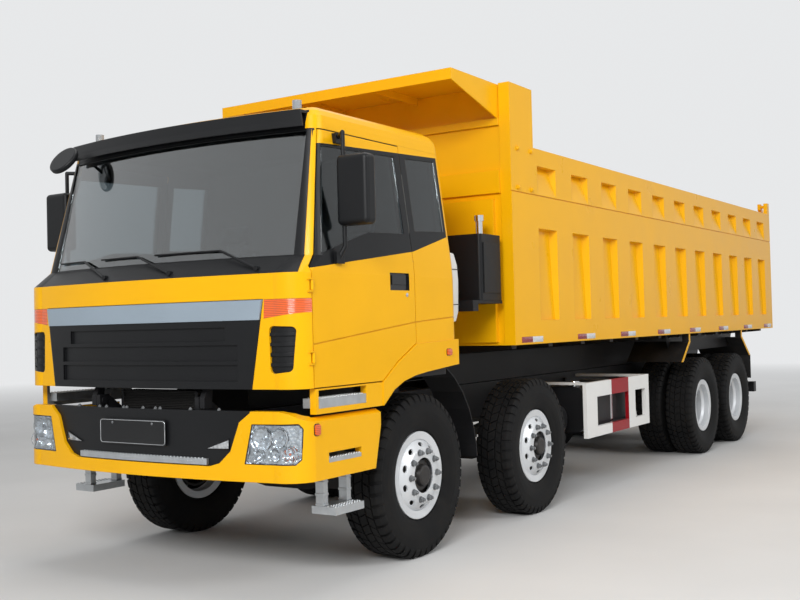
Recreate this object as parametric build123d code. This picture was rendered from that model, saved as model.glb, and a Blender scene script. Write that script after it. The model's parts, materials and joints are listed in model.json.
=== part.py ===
from build123d import *
import os
from math import cos, pi, sin, sqrt

os.makedirs("parts", exist_ok=True)

# Frame: millimetres, Z up from the ground, X to the truck's left.
# Y is measured rearwards from the first axle; export shifts it to mid length.
FRONT_END, REAR_END = -1506, 9500
Y_MID = (FRONT_END + REAR_END) / 2
FIT = 0.4            # gap between a piece and its seat
SEAM = 7             # gap around doors and other moving panels

# Wheels and axles
TYRE_R, TYRE_W = 561, 315
RIM_R, SEAT_R, WELL_R = 300, 254, 228
RIM_HALF, FLANGE_T, RIM_T = 108, 14, 9
AXLE_Z = TYRE_R
AXLE_Y = (0, 1825, 6165, 7515)
STEER_X, KINGPIN_X = 1030, 905
TWIN_OUT_X, TWIN_IN_X = 1090, 740
TWIN_FACE_X = (TWIN_OUT_X + TWIN_IN_X) / 2
HUB_R, DRUM_R, DRUM_T, SPINDLE_R = 112, 205, 15, 42
HOLE_N, HOLE_R, HOLE_PCR = 10, 23, 200

# Ladder frame
RAIL_X, RAIL_W, RAIL_T = 430, 85, 10
RAIL_Z = (760, 1060)
RAIL_Y = (-1330, 8640)
CROSS_Y = (-900, 900, 1560, 2500, 3600, 4700, 5600, 6840, 8000, 8560)
CROSS_T = 90
TOW_X, TOW_Y, TOW_Z, TOW_R = (30, 55), 8715, 850, 22

# Cab body, plan sections from the sill to the roof
CAB_WALL = 50
CAB_REAR, CAB_REAR_R = 430, 70
CAB_SILL_Z, CAB_PANEL_Z, CAB_GLASS_Z = 1240, 1925, 2032
CAB_HEAD_Z, CAB_ROOF_Z = 2830, 2875
CAB_SECTIONS = (
    # z, half width, front centre y, corner x, corner y, side start y
    (CAB_SILL_Z, 1240, -1470, 1050, -1392, -1265),
    (CAB_PANEL_Z, 1238, -1465, 1050, -1388, -1265),
    (CAB_GLASS_Z, 1230, -1345, 1080, -1232, -1140),
    (CAB_HEAD_Z, 1125, -1160, 1035, -1050, -965),
    (CAB_ROOF_Z, 1119, -1150, 1033, -1040, -955),
)
ROOF_R, ROOF_STEPS = 110, 4
FLOOR_T = 50
DOOR_OUTLINE = ((-1257, 1243), (-1257, 1960), (-1185, 2032), (-1008, 2822), (-135, 2822),
                (-135, 1476), (-365, 1362), (-548, 1243))
DOOR_ZONE = ((1150, 1200), (1150, 1960), (1138, CAB_GLASS_Z), (1033, CAB_HEAD_Z),
             (1300, CAB_HEAD_Z), (1300, 1200))
DOOR_GLASS = ((-1150, 2040), (-1010, 2720), (-200, 2745), (-200, 2215), (-620, 2200), (-900, 2120))
QUARTER_GLASS = ((-60, 2240), (-60, 2750), (330, 2770), (330, 2260))
WINDSCREEN = ((-1083, 2040), (1083, 2040), (1060, 2815), (-1060, 2815))
SURROUND = ((-1195, 1928), (1195, 1928), (1155, 2040), (1087, 2826), (-1087, 2826), (-1155, 2040))
GLASS_IN, GLASS_T = 8, 8
HINGE_X, HINGE_Y, HINGE_R, HINGE_PIN_R, HINGE_H = 1243, -1264, 10, 5, 60
HINGE_Z = (1420, 1850)
CREASE = ((-1264, 1496), (-135, 1614), (425, 1647))
CREASE_W = 6
HANDLE_Y, HANDLE_Z, HANDLE_IN = (-430, -200), (1830, 1945), 14
FLAP_X, FLAP_Y, FLAP_Z = (1218, 1234), (-400, -235), (1868, 1930)

# Cab front
BAR_Z = (1652, 1772)
GRILLE_TOP_X, GRILLE_LOW_X = 975, 890
BAR_PROUD, BAR_EDGE = 8, 3
LOUVRE_IN = 16
LOUVRES = (
    # low z, top z, half width
    (1285, 1386, 790),
    (1408, 1505, 790),
    (1527, 1612, 700),
)
TURN_LAMP = ((985, 1772), (1300, 1772), (1300, 1700), (980, 1660))
VENT = ((1022, 1330), (1015, 1615), (1188, 1608), (1168, 1345))
VENT_IN, VENT_R = 14, 28
FIN_Z, FIN_T, FIN_IN = (1375, 1435, 1495, 1555), 20, 4
VISOR = ((-1072, 2836), (1072, 2836), (1045, 2945), (-1045, 2945))
VISOR_OUT, VISOR_T, VISOR_WEB_Z = 60, 12, 2925
MARKER_X, MARKER_Y, MARKER_R, MARKER_TOP = 918, -960, 30, 3035
KERB_MIRROR, KERB_R, KERB_T = (-960, -1250, 2820), 115, 40
KERB_FACING, KERB_ARM_END = (0, 0.8, -0.6), (-1035, -1102, 2875)
WIPERS = (
    # pivot x, elbow x, blade end x
    (909, 561, 21),
    (242, -140, -514),
    (-359, -716, -1031),
)
WIPER_LOW_Z, WIPER_HIGH_Z, WIPER_ARM_R, BLADE_R = 1960, 2090, 8, 6

# Wheel arch and step panel of the cab
ARCH_LIP = ((-548, 1085), (-520, 1105), (-420, 1180), (-300, 1228), (-160, 1258), (0, 1275), (425, 1308))
ARCH_CREASE = ((425, 1488), (-135, 1470), (-365, 1356), (-548, 1237))
ARCH_X = (1192, 1247)
STEP_PANEL_Y, STEP_PANEL_Z, STEP_OUT_X = (-1246, -548), (1085, 1236), 1240
UPPER_STEP_Y, UPPER_STEP_Z, UPPER_STEP_X, UPPER_TRAY_H = (-1222, -730), (1118, 1226), (1120, 1236), 58

# Bumper and lower side panels
BUMPER_Z = (695, 1112)
BUMPER_T = 50
# centre y, corner x, corner y, half width, side start y
BUMPER_FRONT = (FRONT_END, 1050, -1420, 1240, -1262)
PANEL_TOP_Z, PANEL_FRONT = 1068, -1252
PANEL_REAR = ((-580, 1068), (-580, 963), (-648, 695))
SHOULDER = ((1090, 1112), (1150, 1098), (1250, 1040), (1250, 1200), (1090, 1200))
INSERT = ((-900, 1140), (900, 1140), (894, 1104), (817, 1046), (751, 873), (670, 800), (593, 778),
          (-593, 778), (-670, 800), (-751, 873), (-817, 1046), (-894, 1104))
STRIP_X, STRIP_Z, STRIP_OUT = 570, (785, 823), 4
INSERT_IN = 22
HEADLAMP = ((905, 1036), (1195, 1040), (1212, 1010), (1206, 830), (1180, 800), (850, 800))

# Tipping body
BED_X, BED_IN_X = 1247, 1150
BED_Y = (1323, 9377)
BED_Z = (1414, 3038)
FLOOR_Z = (1414, 1440)
BOARD_SEAM_Z, SEAM_W = 2646, 8
POST_Y, POST_TOP = (1323, 1732), 3519
REAR_POST_Y, EAR_TOP, EAR_IN_X = 9262, 3195, 1196
POCKET_N, POCKET_PITCH, POCKET_Y0, POCKET_W = 11, 689, 1790, 372
POCKET_DEEP, POCKET_SHALLOW, POCKET_TAPER = 62, 34, 45
UPPER_POCKET_Z = (2660, 2895)
LOWER_POCKET_Z = (1610, 2372)
HEAD_T = 70
CANOPY_Y, CANOPY_X, CANOPY_TOP, CANOPY_T, CANOPY_LIP = 590, 1145, 3508, 12, 85
GUSSET_H = 285
RIB_X, RIB_LOW_Z = (374, 386), 3440
BEAM_X, BEAM_Z = (350, 440), (1067, 1330)
JOIST_Z, JOIST_T = (1330, 1414), 80
TIP_Y, TIP_Z, TIP_PIN_R = 8400, 1160, 36
GATE_Y, GATE_T = 9385, 60
GATE_X, GATE_Z = 1142, (1418, 3030)
GATE_HOOK_X, GATE_HOOK_TOP = (1110, 1150), 3190
GATE_RIB_X, GATE_RIB_W = (-760, 0, 760), 110
GATE_BEAM_Z = ((1440, 1560), (2180, 2290), (2900, 3020))
GATE_PIN_Y, GATE_PIN_Z, GATE_PIN_R = 9330, 3150, 22

# Front hoist: cover on the headboard, stages coming out of its foot
HOIST_Y, HOIST_EYE_Z, HOIST_PIVOT_Z = 1050, 1190, 1640
HOIST_Z, HOIST_STEP = (1290, 2850), 15
HOIST_R, HOIST_WALL, STAGE_DROP = 120, 11, 11.8
STAGES, TRUNNION_PIN_R, EYE_R = 4, 35, 46
EYE_X, EAR_X = (128, 158), (136, 168)

# Cab tilt pivot
TILT_Y, TILT_Z, TILT_PIN_R = -1390, 1150, 22


def box(x, y, z):
    size = (x[1] - x[0], y[1] - y[0], z[1] - z[0])
    return Pos(*((a[0] + a[1]) / 2 for a in (x, y, z))) * Box(*size)


def outline(points):
    return make_face(Polyline(*points, close=True))


def side_prism(points, x):
    """Prism whose outline is given as (y, z), running along X."""
    face = outline([(x[0], y, z) for y, z in points])
    return extrude(face, x[1] - x[0], dir=(1, 0, 0))


def front_prism(points, y):
    """Prism whose outline is given as (x, z), running along Y."""
    face = outline([(px, y[0], z) for px, z in points])
    return extrude(face, y[1] - y[0], dir=(0, 1, 0))


def plan_prism(points, z):
    """Prism whose outline is given as (x, y), running along Z."""
    face = outline([(px, y, z[0]) for px, y in points])
    return extrude(face, z[1] - z[0], dir=(0, 0, 1))


def rod(start, end, radius):
    a, b = Vector(*start), Vector(*end)
    axis = Plane(origin=a, z_dir=b - a)
    return axis * Cylinder(radius, (b - a).length, align=(Align.CENTER, Align.CENTER, Align.MIN))


def rod_x(x, y, z, radius):
    return rod((x[0], y, z), (x[1], y, z), radius)


def spun(points):
    """Ring about the X axis from an outline of (x, radius)."""
    return revolve(outline([(x, 0, r) for x, r in points]), Axis.X)


def flip(shape):
    return mirror(shape, Plane.YZ)


def both(shape):
    return [shape, flip(shape)]


def span(side, a, b):
    """Range between two distances from the middle, on the given side."""
    return tuple(sorted((side * a, side * b)))


def fused(shapes):
    whole = shapes[0]
    for shape in shapes[1:]:
        whole = whole + shape
    return whole


def solids(shapes):
    flat = []
    for shape in shapes if isinstance(shapes, (list, tuple)) else [shapes]:
        flat += list(shape.solids())
    return flat


def save(name, shapes):
    pieces = [s.moved(Location((0, -Y_MID, 0))) for s in solids(shapes)]
    export_step(Compound(children=pieces) if len(pieces) > 1 else pieces[0], f"parts/{name}.step")


# Wheels, built about the X axis with the outer side towards +X
def tyre():
    half = TYRE_W / 2
    side = ((RIM_HALF - FIT, SEAT_R + FIT), (RIM_HALF - FIT, RIM_R + 4), (RIM_HALF + 20, RIM_R + 14),
            (half - 8, RIM_R + 70), (half, RIM_R + 130), (half - 3, TYRE_R - 45), (half - 14, TYRE_R - 14),
            (half - 30, TYRE_R))
    return spun(side + tuple((-x, r) for x, r in reversed(side)))


def rim_barrel():
    edge = RIM_HALF + FLANGE_T
    outer = ((-edge, RIM_R), (-RIM_HALF, RIM_R), (-RIM_HALF, SEAT_R), (-62, SEAT_R), (-38, WELL_R),
             (38, WELL_R), (62, SEAT_R), (RIM_HALF, SEAT_R), (RIM_HALF, RIM_R), (edge, RIM_R))
    inner = ((edge, RIM_R - RIM_T), (edge - 6, SEAT_R - RIM_T), (58, SEAT_R - RIM_T), (34, WELL_R - RIM_T),
             (-34, WELL_R - RIM_T), (-58, SEAT_R - RIM_T), (6 - edge, SEAT_R - RIM_T), (-edge, RIM_R - RIM_T))
    return spun(outer + inner)


def hand_holes(x):
    return [Rot(i * 360 / HOLE_N, 0, 0) * rod((x[0], 0, HOLE_PCR), (x[1], 0, HOLE_PCR), HOLE_R)
            for i in range(HOLE_N)]


def steer_rim():
    face = RIM_HALF - 12
    disc = spun(((20, WELL_R - 4), (34, WELL_R - 4), (face, 182), (face, HUB_R - 4),
                 (face - 14, HUB_R - 4), (face - 14, 176)))
    disc = disc - hand_holes((0, face + 20))
    hub = spun(((face - 34, SPINDLE_R + 4), (face - 34, 160), (face - 14, 160), (face - 14, HUB_R),
                (face + 40, HUB_R - 8), (face + 44, 78), (face + 72, 70), (face + 78, 56), (face + 78, 0),
                (face + 40, 0), (face + 40, SPINDLE_R + 4)))
    drum = spun(((-70, DRUM_R - DRUM_T), (-70, DRUM_R), (face - 34, DRUM_R - 5), (face - 20, 150),
                 (face - 34, 120), (face - 50, DRUM_R - DRUM_T)))
    return fused([rim_barrel(), disc, hub, drum])


def twin_rim():
    step = TWIN_OUT_X - TWIN_FACE_X
    disc = spun(((-34, WELL_R - 4), (-20, WELL_R - 4), (10 - step + 12, 186), (14 - step, 176),
                 (14 - step, HUB_R - 4), (-step, HUB_R - 4), (-step, 182), (-4 - step + 12, 194)))
    disc = disc - hand_holes((-step - 40, 0))
    outer = Pos(step, 0, 0) * (rim_barrel() + disc)
    hub = spun(((-300, SPINDLE_R + 44), (-300, HUB_R), (-14, HUB_R), (90, HUB_R), (100, HUB_R - 30),
                (160, 78), (168, 66), (168, 0), (110, 0), (110, SPINDLE_R + 44)))
    drum = spun(((-310, DRUM_R - DRUM_T), (-310, DRUM_R), (-90, DRUM_R), (-40, 160), (-14, 160), (-14, 100),
                 (-56, 100), (-56, 140), (-96, DRUM_R - DRUM_T)))
    return fused([outer, mirror(outer, Plane.YZ), hub, drum])


TYRE, STEER_RIM, TWIN_RIM = tyre(), steer_rim(), twin_rim()
TWIN_TYRES = [Pos(TWIN_OUT_X - TWIN_FACE_X, 0, 0) * TYRE, Pos(TWIN_IN_X - TWIN_FACE_X, 0, 0) * TYRE]
for i, y in enumerate(AXLE_Y):
    steered = i < 2
    x = STEER_X if steered else TWIN_FACE_X
    tyres = [TYRE] if steered else TWIN_TYRES
    rim = STEER_RIM if steered else TWIN_RIM
    left = Pos(x, y, AXLE_Z)
    right = Pos(-x, y, AXLE_Z) * Rot(0, 0, 180)
    for side, place in (("left", left), ("right", right)):
        save(f"tyre_{i + 1}_{side}", [place * t for t in tyres])
        save(f"wheel_{i + 1}_{side}", place * rim)

# Steering knuckles
EAR_Z, EAR_T, YOKE_X = 62, 38, (962, 990)
STUB_END = STEER_X + RIM_HALF + 16


def knuckle(y):
    ears = [box((KINGPIN_X - 48, YOKE_X[1]), (y - 45, y + 45), z) for z in
            ((AXLE_Z + EAR_Z, AXLE_Z + EAR_Z + EAR_T), (AXLE_Z - EAR_Z - EAR_T, AXLE_Z - EAR_Z))]
    yoke = box(YOKE_X, (y - 60, y + 60), (AXLE_Z - EAR_Z - EAR_T, AXLE_Z + EAR_Z + EAR_T))
    pin = rod((KINGPIN_X, y, AXLE_Z - 112), (KINGPIN_X, y, AXLE_Z + 112), 24)
    stub = rod_x((YOKE_X[0], STUB_END), y, AXLE_Z, SPINDLE_R)
    flange = rod_x((YOKE_X[0], YOKE_X[1] + 14), y, AXLE_Z, 120)
    arm = side_prism(((y, 460), (y + 30, 499), (y + 190, 490), (y + 190, 450)), (865, 905))
    return fused(ears + [yoke, pin, stub, flange, arm])


for i, y in enumerate(AXLE_Y[:2]):
    save(f"knuckle_{i + 1}_left", knuckle(y))
    save(f"knuckle_{i + 1}_right", flip(knuckle(y)))

# Front axle beams with their leaf springs
SPRING_X = (370, 455)
LEAF_T, LEAF_N = 17, 5
SPRING_EYE_Y, SPRING_EYE_Z, SPRING_SEAT_Z = 720, 745, 575


def leaf_pack(y, x, ends_z, seat_z, half, n):
    """Leaves curved between their ends and the seat, each shorter than the next."""
    rise = (ends_z - seat_z) / half ** 2
    leaves = []
    for k in range(n):
        span = half - k * half / (n + 1)
        drop = seat_z + (n - 1 - k) * LEAF_T
        low, top = drop, drop + LEAF_T
        path = ThreePointArc((x[0], y - span, low + rise * span ** 2), (x[0], y, low),
                             (x[0], y + span, low + rise * span ** 2))
        over = ThreePointArc((x[0], y + span, top + rise * span ** 2), (x[0], y, top),
                             (x[0], y - span, top + rise * span ** 2))
        ends = [Line(path @ 1, over @ 0), Line(over @ 1, path @ 0)]
        leaves.append(extrude(make_face([path, over] + ends), x[1] - x[0], dir=(1, 0, 0)))
    return fused(leaves)


def front_axle(y):
    low, high = AXLE_Z - 105, AXLE_Z - 10
    beam = front_prism(((-KINGPIN_X, AXLE_Z - 55), (-760, AXLE_Z - 55), (-560, low - 30), (-300, low - 30),
                        (-200, low - 50), (200, low - 50), (300, low - 30), (560, low - 30),
                        (760, AXLE_Z - 55), (KINGPIN_X, AXLE_Z - 55), (KINGPIN_X, AXLE_Z + 55),
                        (740, AXLE_Z + 40), (540, high + 22),
                        (300, high + 22), (220, high - 30), (-220, high - 30), (-300, high + 22),
                        (-540, high + 22), (-740, AXLE_Z + 40), (-KINGPIN_X, AXLE_Z + 55)), (y - 44, y + 44))
    pieces = [beam]
    for s in (1, -1):
        pieces.append(rod((s * KINGPIN_X, y, AXLE_Z - 58), (s * KINGPIN_X, y, AXLE_Z + 58), 48))
        x = SPRING_X if s > 0 else (-SPRING_X[1], -SPRING_X[0])
        pieces.append(leaf_pack(y, x, SPRING_EYE_Z - 85, SPRING_SEAT_Z, SPRING_EYE_Y, LEAF_N))
        pieces.append(box(x, (y - 75, y + 75), (AXLE_Z - 60, SPRING_SEAT_Z + LEAF_T * LEAF_N + 24)))
    beam = fused(pieces)
    for s in (1, -1):
        beam = beam - rod((s * KINGPIN_X, y, AXLE_Z - 80), (s * KINGPIN_X, y, AXLE_Z + 80), 24 + FIT)
    return beam


save("front_axles", [front_axle(y) for y in AXLE_Y[:2]])

# Rear axle housings on the bogie's leaf springs
BOGIE_Y = (AXLE_Y[2] + AXLE_Y[3]) / 2
BOGIE_X, BOGIE_Z = (446, 530), 690
TRUNNION_Z, TRUNNION_R = 470, 50
TUBE_R, TUBE_END = 78, 770
BOWL_R, BOWL_T, NOSE_L, NOSE_UP, NOSE_R = 215, 250, 330, 40, 110


def rear_axle(y):
    tube = rod_x((-TUBE_END, TUBE_END), y, AXLE_Z, TUBE_R)
    bowl = Pos(0, y, AXLE_Z) * Rot(90, 0, 0) * Cylinder(BOWL_R, BOWL_T)
    nose = rod((0, y - NOSE_L, AXLE_Z + NOSE_UP), (0, y, AXLE_Z + NOSE_UP), NOSE_R)
    stub = rod_x((-TWIN_FACE_X - 90, TWIN_FACE_X + 90), y, AXLE_Z, SPINDLE_R)
    return fused([tube, bowl, nose, stub])


bogie = [rear_axle(y) for y in AXLE_Y[2:]]
for s in (1, -1):
    x = span(s, *BOGIE_X)
    half = (AXLE_Y[3] - AXLE_Y[2]) / 2 + 60
    pack = leaf_pack(BOGIE_Y, x, BOGIE_Z - 40, BOGIE_Z + 20, half, LEAF_N)
    wide = (x[0] - 8, x[1] + 8)
    saddle = box(wide, (BOGIE_Y - 90, BOGIE_Y + 90), (TRUNNION_Z - 60, BOGIE_Z + 125))
    pads = [box(wide, (y - 70, y + 70), (AXLE_Z, BOGIE_Z + 30)) for y in AXLE_Y[2:]]
    bogie += [pack, saddle] + pads
bogie.append(rod_x((-BOGIE_X[1] - 30, BOGIE_X[1] + 30), BOGIE_Y, TRUNNION_Z, TRUNNION_R))
save("rear_axles", fused(bogie))

# Bumper as a bowed wall with side panels
def bumper_plan(inset):
    f, cx, cy, w, sy = BUMPER_FRONT
    w, f, cy, cx, sy = w - inset, f + inset, cy + inset, cx - 0.35 * inset, sy + 0.35 * inset
    mx, my = cx + (w - cx) * 0.7071, cy + (sy - cy) * 0.2929
    z, rear = BUMPER_Z[0], -500
    return make_face([ThreePointArc((-cx, cy, z), (0, f, z), (cx, cy, z)),
                      ThreePointArc((cx, cy, z), (mx, my, z), (w, sy, z)),
                      Line((w, sy, z), (w, rear, z)), Line((w, rear, z), (-w, rear, z)),
                      Line((-w, rear, z), (-w, sy, z)),
                      ThreePointArc((-w, sy, z), (-mx, my, z), (-cx, cy, z))])


def bumper_body(inset):
    return extrude(bumper_plan(inset), BUMPER_Z[1] - BUMPER_Z[0], dir=(0, 0, 1))


# Ladder frame: rails with bolted cross-members, brackets and the carrier behind the cab
TANK_Y, TANK_X, TANK_Z = (2900, 4230), (560, 1120), (560, 980)
SHELF_Y, SHELF_W, SHELF_T = (3100, 3970), 60, 40
CARRIER_Y, CARRIER_Z, CARRIER_X = (780, 860), (1690, 1772), (-1130, 1175)
CLEANER_SHELF_X, CLEANER_SHELF_Y, CLEANER_SHELF_T = 850, 1252, 24
HANGER_HALF, HANGER_LOW = 30, 640
TRUNNION_HALF, TIP_HALF, TIP_X = 160, 110, (300, 345)
TILT_PLATE_T = 34
ARM_Y, ARM_Z, ARM_W = (-1480, -1300), (800, 900), 50
MUDGUARD_R, MUDGUARD_T, MUDGUARD_X = 822, 8, (880, 1150)
MUDGUARD_TURNS = (1.08, 0.9, 0.7, 0.5, 0.3, 0.15, 0.04)
STAY_Y, STAY_Z = (780, 826), (780, 812)
WEB_IN = RAIL_X - RAIL_T - FIT
UNDER_TOP, UNDER_RAIL = RAIL_Z[1] - RAIL_T - FIT, RAIL_Z[0] - FIT


def rail(s):
    web = box(span(s, RAIL_X, RAIL_X - RAIL_T), RAIL_Y, RAIL_Z)
    low = box(span(s, RAIL_X, RAIL_X - RAIL_W), RAIL_Y, (RAIL_Z[0], RAIL_Z[0] + RAIL_T))
    top = box(span(s, RAIL_X, RAIL_X - RAIL_W), RAIL_Y, (RAIL_Z[1] - RAIL_T, RAIL_Z[1]))
    return fused([web, low, top])


def frame_brackets(s):
    """Members bolted to one rail."""
    beside = RAIL_X + FIT
    pieces = []
    for y in AXLE_Y[:2]:
        for end in (-1, 1):
            at = y + end * (SPRING_EYE_Y + HANGER_HALF + FIT)
            pieces.append(box(span(s, RAIL_X - RAIL_W, RAIL_X + 20), (at - HANGER_HALF, at + HANGER_HALF),
                              (HANGER_LOW, UNDER_RAIL)))
    for y in SHELF_Y:
        upright = box(span(s, beside, RAIL_X + 30), (y, y + SHELF_W), (TANK_Z[0] - SHELF_T, 1000))
        shelf = box(span(s, beside, TANK_X[1]), (y, y + SHELF_W), (TANK_Z[0] - SHELF_T, TANK_Z[0] - FIT))
        pieces.append(upright + shelf)
    trunnion = box(span(s, RAIL_X - RAIL_W, RAIL_X), (BOGIE_Y - TRUNNION_HALF, BOGIE_Y + TRUNNION_HALF),
                   (TRUNNION_Z - 70, UNDER_RAIL))
    pieces.append(trunnion - rod_x((-450, 450), BOGIE_Y, TRUNNION_Z, TRUNNION_R + FIT))
    hinge = side_prism(((TIP_Y - TIP_HALF, RAIL_Z[1]), (TIP_Y - 60, TIP_Z + 60), (TIP_Y + 60, TIP_Z + 60),
                        (TIP_Y + TIP_HALF, RAIL_Z[1]), (TIP_Y + TIP_HALF, 900), (TIP_Y - TIP_HALF, 900)),
                       span(s, TIP_X[0], TIP_X[1] - FIT))
    pieces.append(hinge - rod_x((-460, 460), TIP_Y, TIP_Z, TIP_PIN_R + FIT))
    plate = side_prism(((TILT_Y - 34, TILT_Z + 38), (TILT_Y + 40, TILT_Z + 38), (-1180, RAIL_Z[1]),
                        (-1180, 800), (-1330, 800), (TILT_Y - 34, TILT_Z - 60)),
                       span(s, beside, RAIL_X + TILT_PLATE_T))
    pieces.append(plate - rod_x((-520, 520), TILT_Y, TILT_Z, TILT_PIN_R + FIT))
    arm = box(span(s, WEB_IN, WEB_IN - ARM_W), ARM_Y, ARM_Z)
    pieces.append(arm & bumper_body(BUMPER_T + 10 + FIT))
    inside = [(cos(a) * MUDGUARD_R, AXLE_Z + sin(a) * MUDGUARD_R) for a in MUDGUARD_TURNS]
    skin_r = MUDGUARD_R + MUDGUARD_T
    skin = [(cos(a) * skin_r, AXLE_Z + sin(a) * skin_r) for a in reversed(MUDGUARD_TURNS)]
    stay = box(span(s, beside, MUDGUARD_X[0] + 20), STAY_Y, STAY_Z)
    pieces.append(side_prism(inside + skin, span(s, *MUDGUARD_X)) + stay)
    return pieces


inner = (-WEB_IN, WEB_IN)
frame = [rail(1), rail(-1)] + frame_brackets(1) + frame_brackets(-1)
frame += [box(inner, (y - CROSS_T / 2, y + CROSS_T / 2), (RAIL_Z[1] - CROSS_T, UNDER_TOP))
          for y in CROSS_Y[1:]]
frame.append(box(inner, (CROSS_Y[0] - CROSS_T / 2, CROSS_Y[0] + CROSS_T / 2),
                 (RAIL_Z[0] + RAIL_T + FIT, RAIL_Z[0] + CROSS_T)))
saddle = box(inner, (HOIST_Y - 60, HOIST_Y + 60), (RAIL_Z[1] - 60, UNDER_TOP))
for s in (1, -1):
    saddle = saddle + box(span(s, *EYE_X), (HOIST_Y - 90, HOIST_Y + 90), (RAIL_Z[1] - 60, HOIST_EYE_Z + 50))
frame.append(saddle - rod_x((-250, 250), HOIST_Y, HOIST_EYE_Z, TRUNNION_PIN_R))
carrier = [box(span(s, 360, RAIL_X), CARRIER_Y, (RAIL_Z[1] + FIT, CARRIER_Z[1])) for s in (1, -1)]
carrier.append(box(CARRIER_X, CARRIER_Y, CARRIER_Z))
carrier.append(box((CLEANER_SHELF_X, CARRIER_X[1]), (CARRIER_Y[0], CLEANER_SHELF_Y),
                   (CARRIER_Z[1] - CLEANER_SHELF_T, CARRIER_Z[1])))
frame.append(fused(carrier))
tow = [box(inner, (RAIL_Y[1] - 30, RAIL_Y[1]), (RAIL_Z[0] + RAIL_T + FIT, UNDER_TOP))]
tow += both(box(TOW_X, (RAIL_Y[1] - 10, TOW_Y + 45), (TOW_Z - 50, TOW_Z + 50)))
frame.append(fused(tow) - rod_x((-TOW_X[1], TOW_X[1]), TOW_Y, TOW_Z, TOW_R))
save("frame", frame)

# Engine, gearbox, prop shafts and radiator
ENGINE_X, ENGINE_Y, ENGINE_Z = (-330, 330), (-820, 380), (640, 1205)
GEARBOX = ((380, 640), (380, 960), (560, 960), (980, 860), (980, 650))
GEARBOX_X, OUTPUT_Z, SHAFT_R, LINK_R = (-210, 210), 740, 55, 50
RADIATOR_X, RADIATOR_Y, RADIATOR_Z = RAIL_X - RAIL_W - FIT, (-1300, -1180), (700, 1215)
engine = box(ENGINE_X, ENGINE_Y, ENGINE_Z)
gearbox = side_prism(GEARBOX, GEARBOX_X)
shaft = rod((0, GEARBOX[-1][0], OUTPUT_Z), (0, AXLE_Y[2] - NOSE_L - 5 * FIT, AXLE_Z + NOSE_UP), SHAFT_R)
link = rod((0, AXLE_Y[2] + BOWL_T / 2 + 1, AXLE_Z + NOSE_UP), (0, AXLE_Y[3] - NOSE_L - FIT, AXLE_Z + NOSE_UP),
           LINK_R)
radiator = box((-RADIATOR_X, RADIATOR_X), RADIATOR_Y, RADIATOR_Z)
save("drivetrain", [engine + gearbox + shaft, link, radiator])

# Fuel tank and air tank on the left, silencer on the right
tank = box(TANK_X, TANK_Y, TANK_Z)
tank = fillet(tank.edges().filter_by(Axis.Y), 70)
silencer = box((-TANK_X[1], -TANK_X[0]), TANK_Y, TANK_Z)
silencer = fillet(silencer.edges().filter_by(Axis.Y), 120)
AIR_TANK_Y, AIR_TANK_Z, AIR_TANK_X, AIR_TANK_R = 2620, 700, (560, 1040), 130
AIR_STRAP_Y, AIR_STRAP_Z = (2625, 2675), (680, 720)
air_tank = rod_x(AIR_TANK_X, AIR_TANK_Y, AIR_TANK_Z, AIR_TANK_R)
air_tank = fillet(air_tank.edges().filter_by(GeomType.CIRCLE), 45)
air_tank = air_tank + box((RAIL_X + FIT, RAIL_X + 40), AIR_STRAP_Y, (AIR_STRAP_Z[0], 920))
air_tank = air_tank + box((RAIL_X + FIT, AIR_TANK_X[0] + 60), AIR_STRAP_Y, AIR_STRAP_Z)
save("chassis_tanks", [tank, silencer, air_tank])

# Side guards
GUARD_X = (1175, 1213)
GUARD_Y = (2767, 4366)
GUARD_BARS = ((885, 1025), (520, 612))
GUARD_POSTS = ((2767, 3010), (3800, 3981), (4265, 4366))
guard = [box(GUARD_X, GUARD_Y, z) for z in GUARD_BARS]
guard += [box(GUARD_X, y, (GUARD_BARS[1][0], GUARD_BARS[0][1])) for y in GUARD_POSTS]
guard += [box((RAIL_X, GUARD_X[0]), (y, y + 50), (1000, 1025)) for y in (2850, 4290)]
save("side_guards", both(fused(guard)))

# Rear bar with its lamps
REAR_BAR_X, REAR_BAR_Y, REAR_BAR_Z = (-1200, 1200), (8450, 8560), (565, 700)
HANGER_Y, LAMP_X, LAMP_OUT, LAMP_Z = (8470, 8550), (830, 1190), 30, (580, 690)
bar = [box(REAR_BAR_X, REAR_BAR_Y, REAR_BAR_Z)]
for s in (1, -1):
    bar.append(box(span(s, RAIL_X, RAIL_X - 80), HANGER_Y, (REAR_BAR_Z[1] - 10, RAIL_Z[0])))
bar += both(box(LAMP_X, (REAR_BAR_Y[1], REAR_BAR_Y[1] + LAMP_OUT), LAMP_Z))
save("rear_bar", fused(bar))


# Cab body as a ruled shell through its plan sections
def cab_plan(z, half, front, corner_x, corner_y, side_y, inset):
    w, f, cx, cy = half - inset, front + inset, corner_x - 0.6 * inset, corner_y + inset
    sy = side_y + max(0, inset - CAB_WALL)
    rear, rr = CAB_REAR - inset, CAB_REAR_R
    mx, my = cx + (w - cx) * 0.7071, cy + (sy - cy) * 0.2929
    bulge = rr * 0.7071
    right = [Line((w, sy, z), (w, rear - rr, z)),
             ThreePointArc((w, rear - rr, z), (w - rr + bulge, rear - rr + bulge, z), (w - rr, rear, z))]
    left = [ThreePointArc((rr - w, rear, z), (rr - w - bulge, rear - rr + bulge, z), (-w, rear - rr, z)),
            Line((-w, rear - rr, z), (-w, sy, z)),
            ThreePointArc((-w, sy, z), (-mx, my, z), (-cx, cy, z))]
    nose = [ThreePointArc((-cx, cy, z), (0, f, z), (cx, cy, z)),
            ThreePointArc((cx, cy, z), (mx, my, z), (w, sy, z))]
    return make_face(nose + right + [Line((w - rr, rear, z), (rr - w, rear, z))] + left)


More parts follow.
